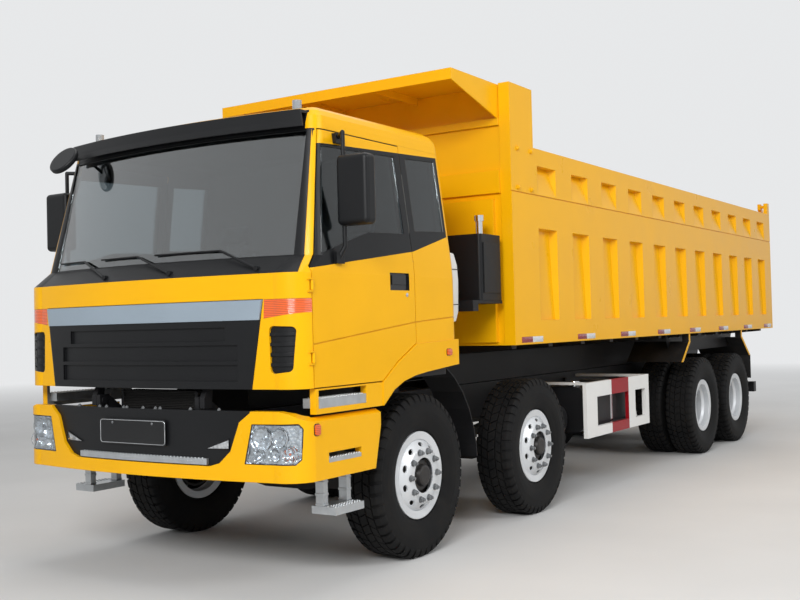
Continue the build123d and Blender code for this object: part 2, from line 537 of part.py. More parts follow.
def cab_body(inset):
    plans = [cab_plan(*row, inset) for row in CAB_SECTIONS]
    for k in range(1, ROOF_STEPS + 1):
        turn = k * pi / 2 / ROOF_STEPS
        z = CAB_ROOF_Z + (ROOF_R - inset) * sin(turn)
        plans.append(cab_plan(z, *CAB_SECTIONS[-1][1:], inset + ROOF_R * (1 - cos(turn))))
    return loft(plans, ruled=True)


def nose_y(x, z):
    """Front face of the cab at a height, between the sections above and below it."""
    low, high = next((a, b) for a, b in zip(CAB_SECTIONS, CAB_SECTIONS[1:]) if z <= b[0])
    part = (z - low[0]) / (high[0] - low[0])
    front, corner_x, corner_y = (low[k] + part * (high[k] - low[k]) for k in (2, 3, 4))
    rise = corner_y - front
    radius = (corner_x ** 2 + rise ** 2) / 2 / rise
    return front + radius - sqrt(radius ** 2 - x ** 2)


WIDE, LONG, TALL = (-1400, 1400), (-1700, 700), (1000, 3200)
LEFT_X, SCREEN_Y = (900, 1300), (-1600, -900)
outer = cab_body(0)
hollow = cab_body(CAB_WALL)
hollow = hollow + Pos(0, 0, -60) * extrude(cab_plan(*CAB_SECTIONS[0], CAB_WALL), 60, dir=(0, 0, 1))
line = CREASE + tuple((y, z + CREASE_W) for y, z in reversed(CREASE))
groove = side_prism(line, LEFT_X) - cab_body(CREASE_W)
shell = outer - hollow - groove - flip(groove)


def side_cut(points, gap, x):
    """Side prism of an outline grown by a gap all round."""
    face = offset(outline(points), amount=gap, kind=Kind.INTERSECTION)
    plane = Plane(origin=(x[0], 0, 0), x_dir=(0, 1, 0), z_dir=(1, 0, 0))
    return extrude(plane * face, x[1] - x[0])


def front_cut(points, gap, y, corner=0):
    """Front prism of an outline grown by a gap all round, its corners rounded if asked."""
    face = offset(outline(points), amount=gap, kind=Kind.INTERSECTION)
    if corner:
        face = fillet(face.vertices(), corner)
    plane = Plane(origin=(0, y[1], 0), x_dir=(1, 0, 0), z_dir=(0, -1, 0))
    return extrude(plane * face, y[1] - y[0])


door_zone = front_prism(DOOR_ZONE, (-1400, 200))
door_hole = side_cut(DOOR_OUTLINE, SEAM, LEFT_X) & door_zone
door_body = side_cut(DOOR_OUTLINE, 0, LEFT_X) & door_zone
arch = side_prism(((-548, 1000),) + ARCH_LIP + ((500, 1308), (500, 1000)), (900, 1400))

# Doors with their glass
pane = cab_body(GLASS_IN) - cab_body(GLASS_IN + GLASS_T)
door = (shell & door_body) - side_cut(DOOR_GLASS, 0, LEFT_X)
door = door - (box(LEFT_X, HANDLE_Y, HANDLE_Z) - cab_body(HANDLE_IN)) + box(FLAP_X, FLAP_Y, FLAP_Z)
glass = pane & side_cut(DOOR_GLASS, -FIT, LEFT_X)
for z in HINGE_Z:
    knuckle_ring = rod((HINGE_X, HINGE_Y, z - HINGE_H / 2), (HINGE_X, HINGE_Y, z + HINGE_H / 2), HINGE_R)
    leaf = box((HINGE_X - 14, HINGE_X - 1), (HINGE_Y, HINGE_Y + 22), (z - HINGE_H / 2, z + HINGE_H / 2))
    pin = rod((HINGE_X, HINGE_Y, z - HINGE_H), (HINGE_X, HINGE_Y, z + HINGE_H), HINGE_PIN_R + FIT)
    door = door + knuckle_ring + leaf - pin
save("door_left", door)
save("door_right", flip(door))
save("door_glass_left", glass)
save("door_glass_right", flip(glass))

# Cab front, sides, back, roof and floor, split where the panels meet
FRONT_SPLIT, BACK_SPLIT = -900, CAB_REAR - CAB_WALL
below_roof = box(WIDE, LONG, (TALL[0], CAB_HEAD_Z))
frame_shell = (shell & below_roof) - door_hole - flip(door_hole)
windscreen_hole = front_cut(WINDSCREEN, 0, SCREEN_Y)
grille_face = ((-GRILLE_LOW_X, CAB_SILL_Z), (GRILLE_LOW_X, CAB_SILL_Z), (GRILLE_TOP_X, BAR_Z[1]),
               (-GRILLE_TOP_X, BAR_Z[1]))
NOSE, CORNER_Y = (-1700, -985), (-1500, DOOR_OUTLINE[0][0] - SEAM)
lamp_hole = front_cut(TURN_LAMP, FIT, CORNER_Y)
vent_hole = front_cut(VENT, 0, CORNER_Y, VENT_R)
front = frame_shell & box(WIDE, (LONG[0], FRONT_SPLIT), TALL)
front = front - front_cut(grille_face, BAR_EDGE, NOSE) - front_cut(SURROUND, FIT, NOSE)
for cut in (lamp_hole, vent_hole):
    front = front - cut - flip(cut)
for z in HINGE_Z:
    pin = rod((HINGE_X, HINGE_Y, z - HINGE_H / 2 - 12), (HINGE_X, HINGE_Y, z + HINGE_H / 2 + 12), HINGE_PIN_R)
    ends = [box((HINGE_X - 18, HINGE_X + 6), (HINGE_Y - 30, HINGE_Y + 5.5), e) for e in
            ((z - HINGE_H / 2 - 12, z - HINGE_H / 2 - 1), (z + HINGE_H / 2 + 1, z + HINGE_H / 2 + 12))]
    notch = rod((HINGE_X, HINGE_Y, z - HINGE_H / 2 - 1), (HINGE_X, HINGE_Y, z + HINGE_H / 2 + 1), HINGE_R + 5)
    front = front - notch - flip(notch)
    for piece in [pin] + ends:
        front = front + piece + flip(piece)
save("cab_front", front)
save("turn_lamps", both(shell & front_cut(TURN_LAMP, 0, CORNER_Y)))

# Grille with its bar and louvres, and the corner vents with their fins
grille = shell & front_cut(grille_face, 0, NOSE)
for low, top, half in LOUVRES:
    slot = ((-half, low), (half, low), (half, top), (-half, top))
    grille = grille - (front_cut(slot, 0, NOSE) - cab_body(LOUVRE_IN))
bar_face = front_cut(grille_face, -BAR_EDGE, NOSE) & box(WIDE, LONG, BAR_Z)
grille = grille + ((cab_body(-BAR_PROUD) - cab_body(BAR_PROUD)) & bar_face)
vent_face = front_cut(VENT, -FIT, CORNER_Y, VENT_R)
vent = (cab_body(VENT_IN) - hollow) & vent_face
fin = (cab_body(FIN_IN) - cab_body(VENT_IN + FIN_IN)) & vent_face
vent = fused([vent] + [fin & box(LEFT_X, CORNER_Y, (z, z + FIN_T)) for z in FIN_Z])
save("grille", [grille] + both(vent))

sides = frame_shell & box(WIDE, (FRONT_SPLIT, BACK_SPLIT), TALL)
sides = sides - arch - flip(arch) - side_cut(QUARTER_GLASS, 0, WIDE)
flange = side_prism(ARCH_LIP + ARCH_CREASE, ARCH_X)
step_panel = box((ARCH_X[0], STEP_OUT_X), STEP_PANEL_Y, STEP_PANEL_Z)
step_panel = step_panel - box(LEFT_X, UPPER_STEP_Y, UPPER_STEP_Z)
side_pieces = [s for s in sides.solids() if s.center().X > 0]
left_side = fused([flange, step_panel] + side_pieces)
save("cab_sides", both(left_side))
back = frame_shell & box(WIDE, (BACK_SPLIT, LONG[1]), (1308, CAB_HEAD_Z))
back = back - flange - flip(flange)
save("cab_back", back)
save("cab_roof", shell & box(WIDE, LONG, (CAB_HEAD_Z, TALL[1])))
floor = cab_body(CAB_WALL + FIT) & box(WIDE, LONG, (CAB_SILL_Z, CAB_SILL_Z + FLOOR_T))
TILT_LUG_X = (RAIL_X + 40, RAIL_X + 80)
for s in (1, -1):
    lug = side_prism(((TILT_Y - 32, TILT_Z - 32), (TILT_Y + 32, TILT_Z - 32), (TILT_Y + 45, CAB_SILL_Z + 10),
                      (TILT_Y + 6, CAB_SILL_Z + 10), (TILT_Y - 32, TILT_Z + 32)), span(s, *TILT_LUG_X))
    pin = rod_x(span(s, RAIL_X - 10, TILT_LUG_X[1]), TILT_Y, TILT_Z, TILT_PIN_R)
    floor = floor + lug + pin
save("cab_floor", floor)
save("cab_glass", [pane & front_cut(WINDSCREEN, -FIT, SCREEN_Y)] +
     both(pane & side_cut(QUARTER_GLASS, -FIT, LEFT_X)))

# Windscreen surround with its wipers, visor with the kerb mirror, roof markers and upper steps
surround = (frame_shell & front_cut(SURROUND, 0, NOSE)) - windscreen_hole
for pivot_x, elbow_x, end_x in WIPERS:
    pivot_y = nose_y(pivot_x, WIPER_LOW_Z)
    elbow = (elbow_x, nose_y(elbow_x, WIPER_HIGH_Z) - WIPER_ARM_R, WIPER_HIGH_Z)
    blade_end = (end_x, nose_y(end_x, WIPER_HIGH_Z) - WIPER_ARM_R, WIPER_HIGH_Z)
    boss = rod((pivot_x, pivot_y + WIPER_ARM_R, WIPER_LOW_Z),
               (pivot_x, pivot_y - 3 * WIPER_ARM_R, WIPER_LOW_Z), 2 * WIPER_ARM_R)
    arm = rod((pivot_x, pivot_y - 2 * WIPER_ARM_R, WIPER_LOW_Z), elbow, WIPER_ARM_R)
    surround = fused([surround, boss, arm, rod(elbow, blade_end, BLADE_R)])
stand_off = cab_body(-FIT)
visor_face = front_prism(VISOR, (-1300, -900))
visor = visor_face & (cab_body(-VISOR_OUT) - cab_body(VISOR_T - VISOR_OUT))
web = visor_face & box(WIDE, LONG, (VISOR_WEB_Z, TALL[1])) & (cab_body(-VISOR_OUT) - stand_off)
kerb_glass = Plane(origin=KERB_MIRROR, z_dir=KERB_FACING) * Cylinder(KERB_R, KERB_T)
kerb_glass = fillet(kerb_glass.edges().filter_by(GeomType.CIRCLE), KERB_T / 3)
visor = fused([visor, web, kerb_glass, rod(KERB_MIRROR, KERB_ARM_END, 2 * BLADE_R)])
marker = rod((MARKER_X, MARKER_Y, CAB_ROOF_Z), (MARKER_X, MARKER_Y, MARKER_TOP), MARKER_R) - stand_off
upper_step = box(UPPER_STEP_X, (UPPER_STEP_Y[0] + FIT, UPPER_STEP_Y[1] - FIT),
                 (UPPER_STEP_Z[0] + FIT, UPPER_STEP_Z[0] + UPPER_TRAY_H))
save("cab_trim", [surround, visor] + both(marker) + both(upper_step))

# Seats, dashboard and steering wheel
FLOOR_TOP = CAB_SILL_Z + FLOOR_T
seat = fused([box((340, 860), (-520, 20), (FLOOR_TOP + 220, FLOOR_TOP + 400)),
              box((420, 780), (-420, -40), (FLOOR_TOP, FLOOR_TOP + 230)),
              side_prism(((-60, FLOOR_TOP + 380), (60, FLOOR_TOP + 380), (190, FLOOR_TOP + 1150),
                          (90, FLOOR_TOP + 1150)), (360, 840))])
save("seats", both(seat))
DASH = ((-1500, 1500), (-1000, 1500), (-960, 1760), (-1060, 1930), (-1500, 1930))
DASH_X, COLUMN_FOOT, WHEEL_HUB = (-1170, 1170), (600, -1040, 1699), (600, -790, 1866)
WHEEL_LEAN, WHEEL_R, WHEEL_GRIP = (0, 240, 160), 235, 18
dash = cab_body(CAB_WALL + FIT) & side_prism(DASH, DASH_X)
column = rod(COLUMN_FOOT, WHEEL_HUB, 35)
wheel_plane = Plane(origin=WHEEL_HUB, z_dir=WHEEL_LEAN)
save("dashboard", fused([dash, column, wheel_plane * Box(2 * WHEEL_R, 60, 20),
                         wheel_plane * Torus(WHEEL_R, WHEEL_GRIP)]))

# Mirrors carried by the doors
MIRROR_X, MIRROR_Y, MIRROR_Z, MIRROR_R = (1243, 1478), (-1015, -905), (2215, 2645), 32
STEM_X, STEM_Y, STEM_R = 1275, -970, 14
TOP_FOOT = ((1090, 1162), (-885, -810), (2748, 2812))
LOW_FOOT = ((1190, 1256), (-1030, -950), (1985, 2055))
TOP_ARM_Z, LOW_ARM_Z, LOW_BEND_Z = 2790, 2020, 2090
case = box(MIRROR_X, MIRROR_Y, MIRROR_Z)
case = fillet(case.edges(), MIRROR_R)
stem = [(TOP_FOOT[0][1] - 12, -845, TOP_ARM_Z), (STEM_X, STEM_Y, TOP_ARM_Z), (STEM_X, STEM_Y, LOW_BEND_Z),
        (LOW_FOOT[0][1] - 12, -990, LOW_ARM_Z)]
arms = [rod(a, b, STEM_R) for a, b in zip(stem, stem[1:])] + [Pos(*p) * Sphere(STEM_R) for p in stem[1:3]]
arms += [box(*TOP_FOOT), box(*LOW_FOOT)]
mirror_left = fused([case] + [arm - stand_off for arm in arms])
save("mirror_left", mirror_left)
save("mirror_right", flip(mirror_left))
header_tank = box((960, 1140), (CAB_REAR + FIT, 560), (1611, 2131))
save("header_tank", fillet(header_tank.edges().filter_by(Axis.Z) + header_tank.edges().filter_by(Axis.X), 35))


# Bumper, its dark insert with the foot strip, and the headlamps
FACE_Y, BUMPER_TOP = (-1600, -1180), 1200
LOW_STEP_Y, LOW_STEP_Z, LOW_OPEN_TOP = (-1134, -800), (790, 815), 850
bumper_shell = bumper_body(0) - bumper_body(BUMPER_T)
bumper_side = ((FACE_Y[0], BUMPER_Z[0]), (FACE_Y[0], BUMPER_TOP), (PANEL_FRONT, BUMPER_TOP),
               (PANEL_FRONT, PANEL_TOP_Z)) + PANEL_REAR
bumper_shell = bumper_shell & side_prism(bumper_side, WIDE)
for s in (1, -1):
    bumper_shell = bumper_shell - front_prism([(s * x, z) for x, z in SHOULDER], (FACE_Y[0], -400))
lamp_cut = front_cut(HEADLAMP, FIT, FACE_Y)
step_open = box(LEFT_X, (LOW_STEP_Y[0] - FIT, LOW_STEP_Y[1] + FIT), (LOW_STEP_Z[0] - FIT, LOW_OPEN_TOP))
bumper = bumper_shell - front_cut(INSERT, FIT, FACE_Y)
for cut in (lamp_cut, step_open):
    bumper = bumper - cut - flip(cut)
save("bumper", bumper)
insert = (bumper_body(INSERT_IN) - bumper_body(BUMPER_T + 10)) & front_cut(INSERT, 0, FACE_Y)
strip = (bumper_body(STRIP_OUT) - bumper_body(INSERT_IN - FIT)) & box((-STRIP_X, STRIP_X), FACE_Y, STRIP_Z)
save("bumper_insert", [insert & box(WIDE, LONG, BUMPER_Z), strip])
save("headlamps", both((bumper_body(3) - bumper_body(BUMPER_T)) & front_cut(HEADLAMP, 0, FACE_Y)))

# Lower steps through the bumper sides, with treads hung below them
TREAD_X, TREAD_Y, TREAD_Z = (1000, 1188), (-1010, -715), (450, 498)
HANG_X, HANG_Y, HANG_W = (1030, 1090), (-1005, -765), 45
hang = [box(TREAD_X, TREAD_Y, TREAD_Z), box((HANG_X[0], STEP_OUT_X - 2), LOW_STEP_Y, LOW_STEP_Z),
        box(HANG_X, (LOW_STEP_Y[0], HANG_Y[1] + HANG_W), (LOW_STEP_Z[0] - 30, LOW_STEP_Z[0] + 10))]
hang += [box(HANG_X, (y, y + HANG_W), (TREAD_Z[1] - 10, LOW_STEP_Z[0])) for y in HANG_Y]
save("hanging_steps", both(fused(hang)))

# Air cleaner with its intake stack
cleaner = box((860, 1178), (910, 1250), (CARRIER_Z[1] + FIT, 2285))
cleaner = fillet(cleaner.edges().filter_by(Axis.Z), 25) + box((1170, 1186), (950, 1210), (1830, 2220))
stack = rod((1080, 1080, 2280), (1080, 1080, 2400), 28) + rod((1080, 1080, 2395), (1080, 1080, 2441), 38)
save("air_cleaner", cleaner + stack)

# Tipping body: side walls with two rows of pockets
def pocket(y, z, top, low):
    """Recess with a sloped floor and slanted sides."""
    out = BED_X + 10
    face = outline([(BED_X - top, y, z[1]), (out, y, z[1]), (out, y, z[0]), (BED_X - low, y, z[0])])
    sides = plan_prism(((out, y), (out, y + POCKET_W), (BED_X - POCKET_DEEP, y + POCKET_W - POCKET_TAPER),
                        (BED_X - POCKET_DEEP, y + POCKET_TAPER)), z)
    return extrude(face, POCKET_W, dir=(0, 1, 0)) & sides


wall = box((BED_IN_X, BED_X), BED_Y, BED_Z)
post = box((BED_IN_X, BED_X), POST_Y, (BED_Z[0], POST_TOP))
ear = side_prism(((REAR_POST_Y, BED_Z[1]), (REAR_POST_Y + 20, EAR_TOP), (GATE_PIN_Y + 42, EAR_TOP),
                  (BED_Y[1], BED_Z[1])), (EAR_IN_X, BED_X))
wall = wall + post + ear
cuts = [box((BED_X - SEAM_W, BED_X + 10), BED_Y, (BOARD_SEAM_Z - SEAM_W / 2, BOARD_SEAM_Z + SEAM_W / 2)),
        rod_x((1100, 1300), GATE_PIN_Y, GATE_PIN_Z, GATE_PIN_R + FIT)]
for k in range(POCKET_N):
    y = POCKET_Y0 + k * POCKET_PITCH
    cuts.append(pocket(y, UPPER_POCKET_Z, POCKET_DEEP, 0))
    cuts.append(pocket(y, LOWER_POCKET_Z, POCKET_DEEP, POCKET_SHALLOW))
wall = wall - cuts
save("bed_sides", both(wall))

# Headboard with the canopy over the gap behind the cab
head = [box((-BED_IN_X, BED_IN_X), (POST_Y[0] + 8, POST_Y[0] + 8 + HEAD_T), (FLOOR_Z[0], POST_TOP - 20)),
        box((-1092, 1092), (POST_Y[0] - 30, POST_Y[0] + 10), (1440, 2590)),
        box((-BED_IN_X, BED_IN_X), (POST_Y[0] - 20, POST_Y[0] + 10), (2636, 2820)),
        box((-BED_IN_X, BED_IN_X), (POST_Y[0] - 20, POST_Y[0] + 10), (3180, 3240)),
        box((-CANOPY_X, CANOPY_X), (CANOPY_Y, POST_Y[0] + 20), (CANOPY_TOP - CANOPY_T, CANOPY_TOP)),
        box((-CANOPY_X, CANOPY_X), (CANOPY_Y, CANOPY_Y + CANOPY_T), (CANOPY_TOP - CANOPY_LIP, CANOPY_TOP))]
for s in (1, -1):
    head.append(side_prism(((CANOPY_Y, CANOPY_TOP), (CANOPY_Y, CANOPY_TOP - CANOPY_LIP),
                            (POST_Y[0] + 20, CANOPY_TOP - GUSSET_H), (POST_Y[0] + 20, CANOPY_TOP)),
                           span(s, CANOPY_X, CANOPY_X - CANOPY_T)))
    head.append(box(span(s, *RIB_X), (CANOPY_Y, POST_Y[0] + 10), (RIB_LOW_Z, CANOPY_TOP)))
    head.append(side_prism(((POST_Y[0] + 10, HOIST_PIVOT_Z - 150), (HOIST_Y - 50, HOIST_PIVOT_Z - 60),
                            (HOIST_Y - 50, HOIST_PIVOT_Z + 60), (POST_Y[0] + 10, HOIST_PIVOT_Z + 150)),
                           span(s, *EAR_X)))
head = fused(head) - rod_x((-250, 250), HOIST_Y, HOIST_PIVOT_Z, TRUNNION_PIN_R + FIT)
save("bed_front", head)

# Floor with joists, main beams and the tipping pin
deck = [box((-BED_IN_X, BED_IN_X), (POST_Y[0] + 8 + HEAD_T, BED_Y[1]), FLOOR_Z)]
joist_y = [POST_Y[0] + 120 + k * POCKET_PITCH for k in range(POCKET_N + 1)]
deck += [front_prism(((-BED_IN_X, FLOOR_Z[0]), (-BED_IN_X, JOIST_Z[1] - 34), (-BEAM_X[1], JOIST_Z[0]),
                      (BEAM_X[1], JOIST_Z[0]), (BED_IN_X, JOIST_Z[1] - 34), (BED_IN_X, FLOOR_Z[0])),
                     (y, y + JOIST_T)) for y in joist_y]
for s in (1, -1):
    x = span(s, *BEAM_X)
    deck.append(side_prism(((POST_Y[0] + 90, BEAM_Z[0]), (TIP_Y, BEAM_Z[0]), (TIP_Y + 60, TIP_Z - 60),
                            (TIP_Y + 86, TIP_Z - 4), (TIP_Y + 86, BEAM_Z[1]),
                            (POST_Y[0] + 90, BEAM_Z[1])), x))
deck.append(rod_x((-BEAM_X[1], BEAM_X[1]), TIP_Y, TIP_Z, TIP_PIN_R))
save("bed_floor", fused(deck))

# Mudguards hung from the body over the drive wheels
FLAP_LOW_Z = 770
GUARD_SHEETS = (
    # top y, top z, low y, low z
    (5650, 1325, 5380, 1102),
    (7777, 1325, 8132, 1073),
)
sheets = []
for ty, tz, ly, lz in GUARD_SHEETS:
    sheet = side_prism(((ty, tz), (ly, lz), (ly + 22, lz), (ty + 22, tz)), (BED_IN_X - 560, BED_X))
    leg = box((BED_IN_X + 10, BED_X - 10), (ty - 10, ty + 40), (tz - 20, BED_Z[0] - FIT))
    flap = [box((BED_IN_X - 560, BED_X), (ly, ly + 18), (FLAP_LOW_Z, lz + 10))] if ly > ty else []
    sheets += both(fused([sheet, leg] + flap))
save("bed_mudguards", sheets)

# Tailgate hung from the top
gate = [box((-GATE_X, GATE_X), (GATE_Y, GATE_Y + GATE_T), GATE_Z)]
gate += [box((x - GATE_RIB_W / 2, x + GATE_RIB_W / 2), (GATE_Y, REAR_END), GATE_Z) for x in GATE_RIB_X]
gate += [box((-GATE_X, GATE_X), (GATE_Y, REAR_END), z) for z in GATE_BEAM_Z]
for s in (1, -1):
    gate.append(side_prism(((GATE_Y, 2900), (GATE_Y + GATE_T, 2900), (GATE_Y + GATE_T, 3080),
                            (GATE_PIN_Y + 30, GATE_HOOK_TOP), (GATE_PIN_Y - 40, GATE_HOOK_TOP),
                            (GATE_PIN_Y - 40, 3110), (GATE_Y, 3060)), span(s, *GATE_HOOK_X)))
    gate.append(rod_x(span(s, GATE_HOOK_X[0], BED_X), GATE_PIN_Y, GATE_PIN_Z, GATE_PIN_R))
save("tailgate", fused(gate))

# Telescopic hoist: cover on trunnions, its stages and the rod with the eye
for k in range(STAGES + 1):
    radius, low, top = HOIST_R - k * STAGE_DROP, HOIST_Z[0] - HOIST_STEP * k, HOIST_Z[1] - 20 * k
    tube = rod((0, HOIST_Y, low), (0, HOIST_Y, top), radius)
    if k < STAGES:
        tube = tube - rod((0, HOIST_Y, low - 5), (0, HOIST_Y, top - 16), radius - HOIST_WALL)
    if k == 0:
        tube = tube + [rod_x(span(s, HOIST_R - 5, EAR_X[1]), HOIST_Y, HOIST_PIVOT_Z, TRUNNION_PIN_R)
                       for s in (1, -1)]
    if k == STAGES:
        tube = tube + rod_x((FIT - EYE_X[0], EYE_X[0] - FIT), HOIST_Y, HOIST_EYE_Z, EYE_R)
        tube = tube + rod((0, HOIST_Y, HOIST_EYE_Z), (0, HOIST_Y, low + 5), EYE_R)
    save("hoist_cover" if k == 0 else f"hoist_stage_{k}", tube)
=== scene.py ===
"""Looks of a four-axle tipper truck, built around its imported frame. Metres, Z up, front towards -Y."""
import json
import math

import bmesh
import bpy
from mathutils import Matrix, Vector
from mathutils.bvhtree import BVHTree


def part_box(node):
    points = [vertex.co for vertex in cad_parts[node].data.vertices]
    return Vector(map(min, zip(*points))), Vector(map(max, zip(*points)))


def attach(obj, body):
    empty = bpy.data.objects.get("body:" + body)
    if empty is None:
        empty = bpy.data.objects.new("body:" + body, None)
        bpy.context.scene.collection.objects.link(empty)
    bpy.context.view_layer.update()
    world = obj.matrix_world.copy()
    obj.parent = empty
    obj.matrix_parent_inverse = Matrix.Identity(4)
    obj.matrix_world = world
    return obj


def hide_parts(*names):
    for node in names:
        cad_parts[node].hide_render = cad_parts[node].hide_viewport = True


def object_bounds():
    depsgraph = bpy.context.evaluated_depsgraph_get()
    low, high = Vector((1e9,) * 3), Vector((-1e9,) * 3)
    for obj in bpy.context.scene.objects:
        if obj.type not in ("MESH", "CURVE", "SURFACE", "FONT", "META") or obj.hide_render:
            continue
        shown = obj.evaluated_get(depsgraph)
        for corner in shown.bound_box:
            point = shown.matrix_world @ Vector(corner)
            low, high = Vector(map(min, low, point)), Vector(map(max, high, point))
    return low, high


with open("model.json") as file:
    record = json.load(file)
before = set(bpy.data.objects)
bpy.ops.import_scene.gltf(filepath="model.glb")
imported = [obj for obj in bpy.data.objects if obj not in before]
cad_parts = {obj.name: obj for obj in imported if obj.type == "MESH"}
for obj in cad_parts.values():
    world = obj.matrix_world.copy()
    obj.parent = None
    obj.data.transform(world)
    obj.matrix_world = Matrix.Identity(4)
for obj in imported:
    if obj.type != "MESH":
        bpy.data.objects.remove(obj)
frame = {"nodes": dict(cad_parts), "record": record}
CAD_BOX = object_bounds()
NODES = frame["nodes"]
SIDES = (("left", 1), ("right", -1))
SIGNS = (1, -1)
AXLES = [sum(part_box(f"tyre_{n}_left"), Vector()) / 2 for n in (1, 2, 3, 4)]
FIRST_AXLE = AXLES[0].y

# Camera of the photograph
CAMERA_PLACE = (5.0674, -10.1455, 1.6092)
CAMERA_HEADING, CAMERA_PITCH, CAMERA_ROLL = 33.30, 1.287, -1.447
CAMERA_LENS, SENSOR = 47.30, 36.0

# Stage
FLOOR_SIZE, FLOOR_PATCH, FLOOR_DETAIL = 240.0, 0.6, 6.0
FADE_START, FADE_END = 9.0, 26.0
BACKDROP = (0.80, 0.81, 0.82)
WORLD_LIGHT = 0.36
FLOOR_TONES = ((0.66, 0.66, 0.655, 1), (0.71, 0.71, 0.705, 1))


def rgb(red, green, blue):
    """Linear colour from 8-bit display values."""
    def linear(v):
        v /= 255
        return v / 12.92 if v <= 0.04045 else ((v + 0.055) / 1.055) ** 2.4
    return (linear(red), linear(green), linear(blue), 1.0)


def shade(colour, factor):
    return tuple(min(1.0, c * factor) for c in colour[:3]) + (1.0,)


# Sockets of the mix node that take and give colours
MIX_SOCKETS, MIX_RESULT = (0, 6, 7), 2


def add_node(tree, kind, inputs, **settings):
    """New node with its settings, and a value or a link on each input named."""
    node = tree.nodes.new(f"ShaderNode{kind}")
    for name, value in settings.items():
        setattr(node, name, value)
    for socket, value in inputs.items():
        if isinstance(value, bpy.types.NodeSocket):
            tree.links.new(value, node.inputs[socket])
        else:
            node.inputs[socket].default_value = value
    return node


class Shader:
    """A material with its Principled shader and short ways to add nodes to it."""

    def __init__(self, name):
        self.material = bpy.data.materials.new(name)
        self.material.use_nodes = True
        self.tree = self.material.node_tree
        self.main = self.tree.nodes["Principled BSDF"]
        self.coords = self.add("TexCoord", {}).outputs["Object"]

    def add(self, kind, inputs, **settings):
        return add_node(self.tree, kind, inputs, **settings)

    def set(self, **values):
        for socket, value in values.items():
            self.main.inputs[socket.replace("_", " ")].default_value = value

    def link(self, output, socket):
        self.tree.links.new(output, self.main.inputs[socket])

    def noise(self, scale, detail, stretch=None):
        source = self.coords
        if stretch:
            source = self.add("Mapping", {"Scale": stretch, "Vector": source}).outputs["Vector"]
        return self.add("TexNoise", {"Scale": scale, "Detail": detail, "Vector": source}).outputs["Fac"]

    def wave(self, direction, scale):
        wave = self.add("TexWave", {"Scale": scale, "Vector": self.coords}, bands_direction=direction)
        return wave.outputs["Fac"]

    def ramp(self, factor, low, high, start=0.3, end=0.7):
        node = self.add("ValToRGB", {"Fac": factor})
        for element, position, colour in zip(node.color_ramp.elements, (start, end), (low, high)):
            element.position, element.color = position, colour
        return node.outputs["Color"]

    def spread(self, factor, low, high, start=0.0, end=1.0):
        limits = {"From Min": start, "From Max": end, "To Min": low, "To Max": high}
        return self.add("MapRange", {"Value": factor, **limits}).outputs["Result"]

    def math(self, operation, *values):
        return self.add("Math", dict(enumerate(values)), operation=operation).outputs["Value"]

    def mix(self, factor, low, high):
        inputs = dict(zip(MIX_SOCKETS, (factor, low, high)))
        return self.add("Mix", inputs, data_type="RGBA").outputs[MIX_RESULT]

    def axis(self, name):
        return self.add("SeparateXYZ", {"Vector": self.coords}).outputs[name]

    def bump(self, height, strength, distance, round_edge=0.0):
        inputs = {"Strength": strength, "Distance": distance, "Height": height}
        if round_edge:
            inputs["Normal"] = self.add("Bevel", {"Radius": round_edge}).outputs["Normal"]
        self.link(self.add("Bump", inputs).outputs["Normal"], "Normal")


# Shared by the finishes
TONE_PATCH, TONE_DETAIL = 2.5, 5.0
GRAIN, GRAIN_DETAIL, GRAIN_DEEP = 900.0, 2.0, 0.002
COAT_ROUGH, BAND_VARY, DARK_SHINE = 0.08, 0.08, 0.25
PAINT = {"vary": 0.025, "relief": 0.02, "shine": 0.18}
CAB_PAINT = {"rough": 0.30, "coat": 0.06, "edge": 0.006, **PAINT}


def surface(name, colour, rough, metal=0.0, vary=0.06, patch=TONE_PATCH, grain=GRAIN, relief=0.06, coat=0.0,
            edge=0.0, shine=0.5, gloss=0.07, other=None, band=None):
    """Uneven tone, gloss and grain, with another colour where a test made of node outputs is 1."""
    s = Shader(name)
    tone = s.noise(patch, TONE_DETAIL)
    base = s.ramp(tone, shade(colour, 1 - vary), shade(colour, 1 + vary))
    if band:
        over = s.ramp(tone, shade(other, 1 - BAND_VARY), shade(other, 1 + BAND_VARY))
        base = s.mix(band(s), base, over)
    s.link(base, "Base Color")
    s.link(s.spread(tone, rough - gloss, rough + gloss), "Roughness")
    s.set(Metallic=metal, Coat_Weight=coat, Coat_Roughness=COAT_ROUGH, Specular_IOR_Level=shine)
    s.bump(s.noise(grain, GRAIN_DETAIL), relief, GRAIN_DEEP, edge)
    return s.material


def glass(name, tint, coat=0.0, rough=(0.02, 0.05), patch=1.8, detail=3.0):
    """Clear or tinted glass; a coat makes it mirror more of the surroundings."""
    s = Shader(name)
    s.link(s.spread(s.noise(patch, detail), *rough), "Roughness")
    s.set(Base_Color=tint, IOR=1.45, Transmission_Weight=1.0, Coat_Weight=coat, Coat_IOR=2.0)
    return s.material


def lens(name, colour, ribs, dark=0.7, light=1.2, relief=0.3, deep=0.003):
    """Moulded lamp lens with fine ribs."""
    s = Shader(name)
    rib = s.wave("Z", ribs)
    s.link(s.ramp(rib, shade(colour, dark), shade(colour, light)), "Base Color")
    s.set(Roughness=0.12, Coat_Weight=0.6, Specular_IOR_Level=0.6)
    s.bump(rib, relief, deep)
    return s.material


def fabric(name, colour, threads=700.0, detail=1.0, stretch=(1.0, 1.0, 0.35), vary=0.3, relief=0.4,
           deep=0.002):
    """Woven cloth with a soft sheen."""
    s = Shader(name)
    weave = s.noise(threads, detail, stretch)
    s.link(s.ramp(weave, shade(colour, 1 - vary), shade(colour, 1 + vary)), "Base Color")
    s.set(Roughness=0.9, Sheen_Weight=0.3, Sheen_Roughness=0.5)
    s.bump(weave, relief, deep)
    return s.material


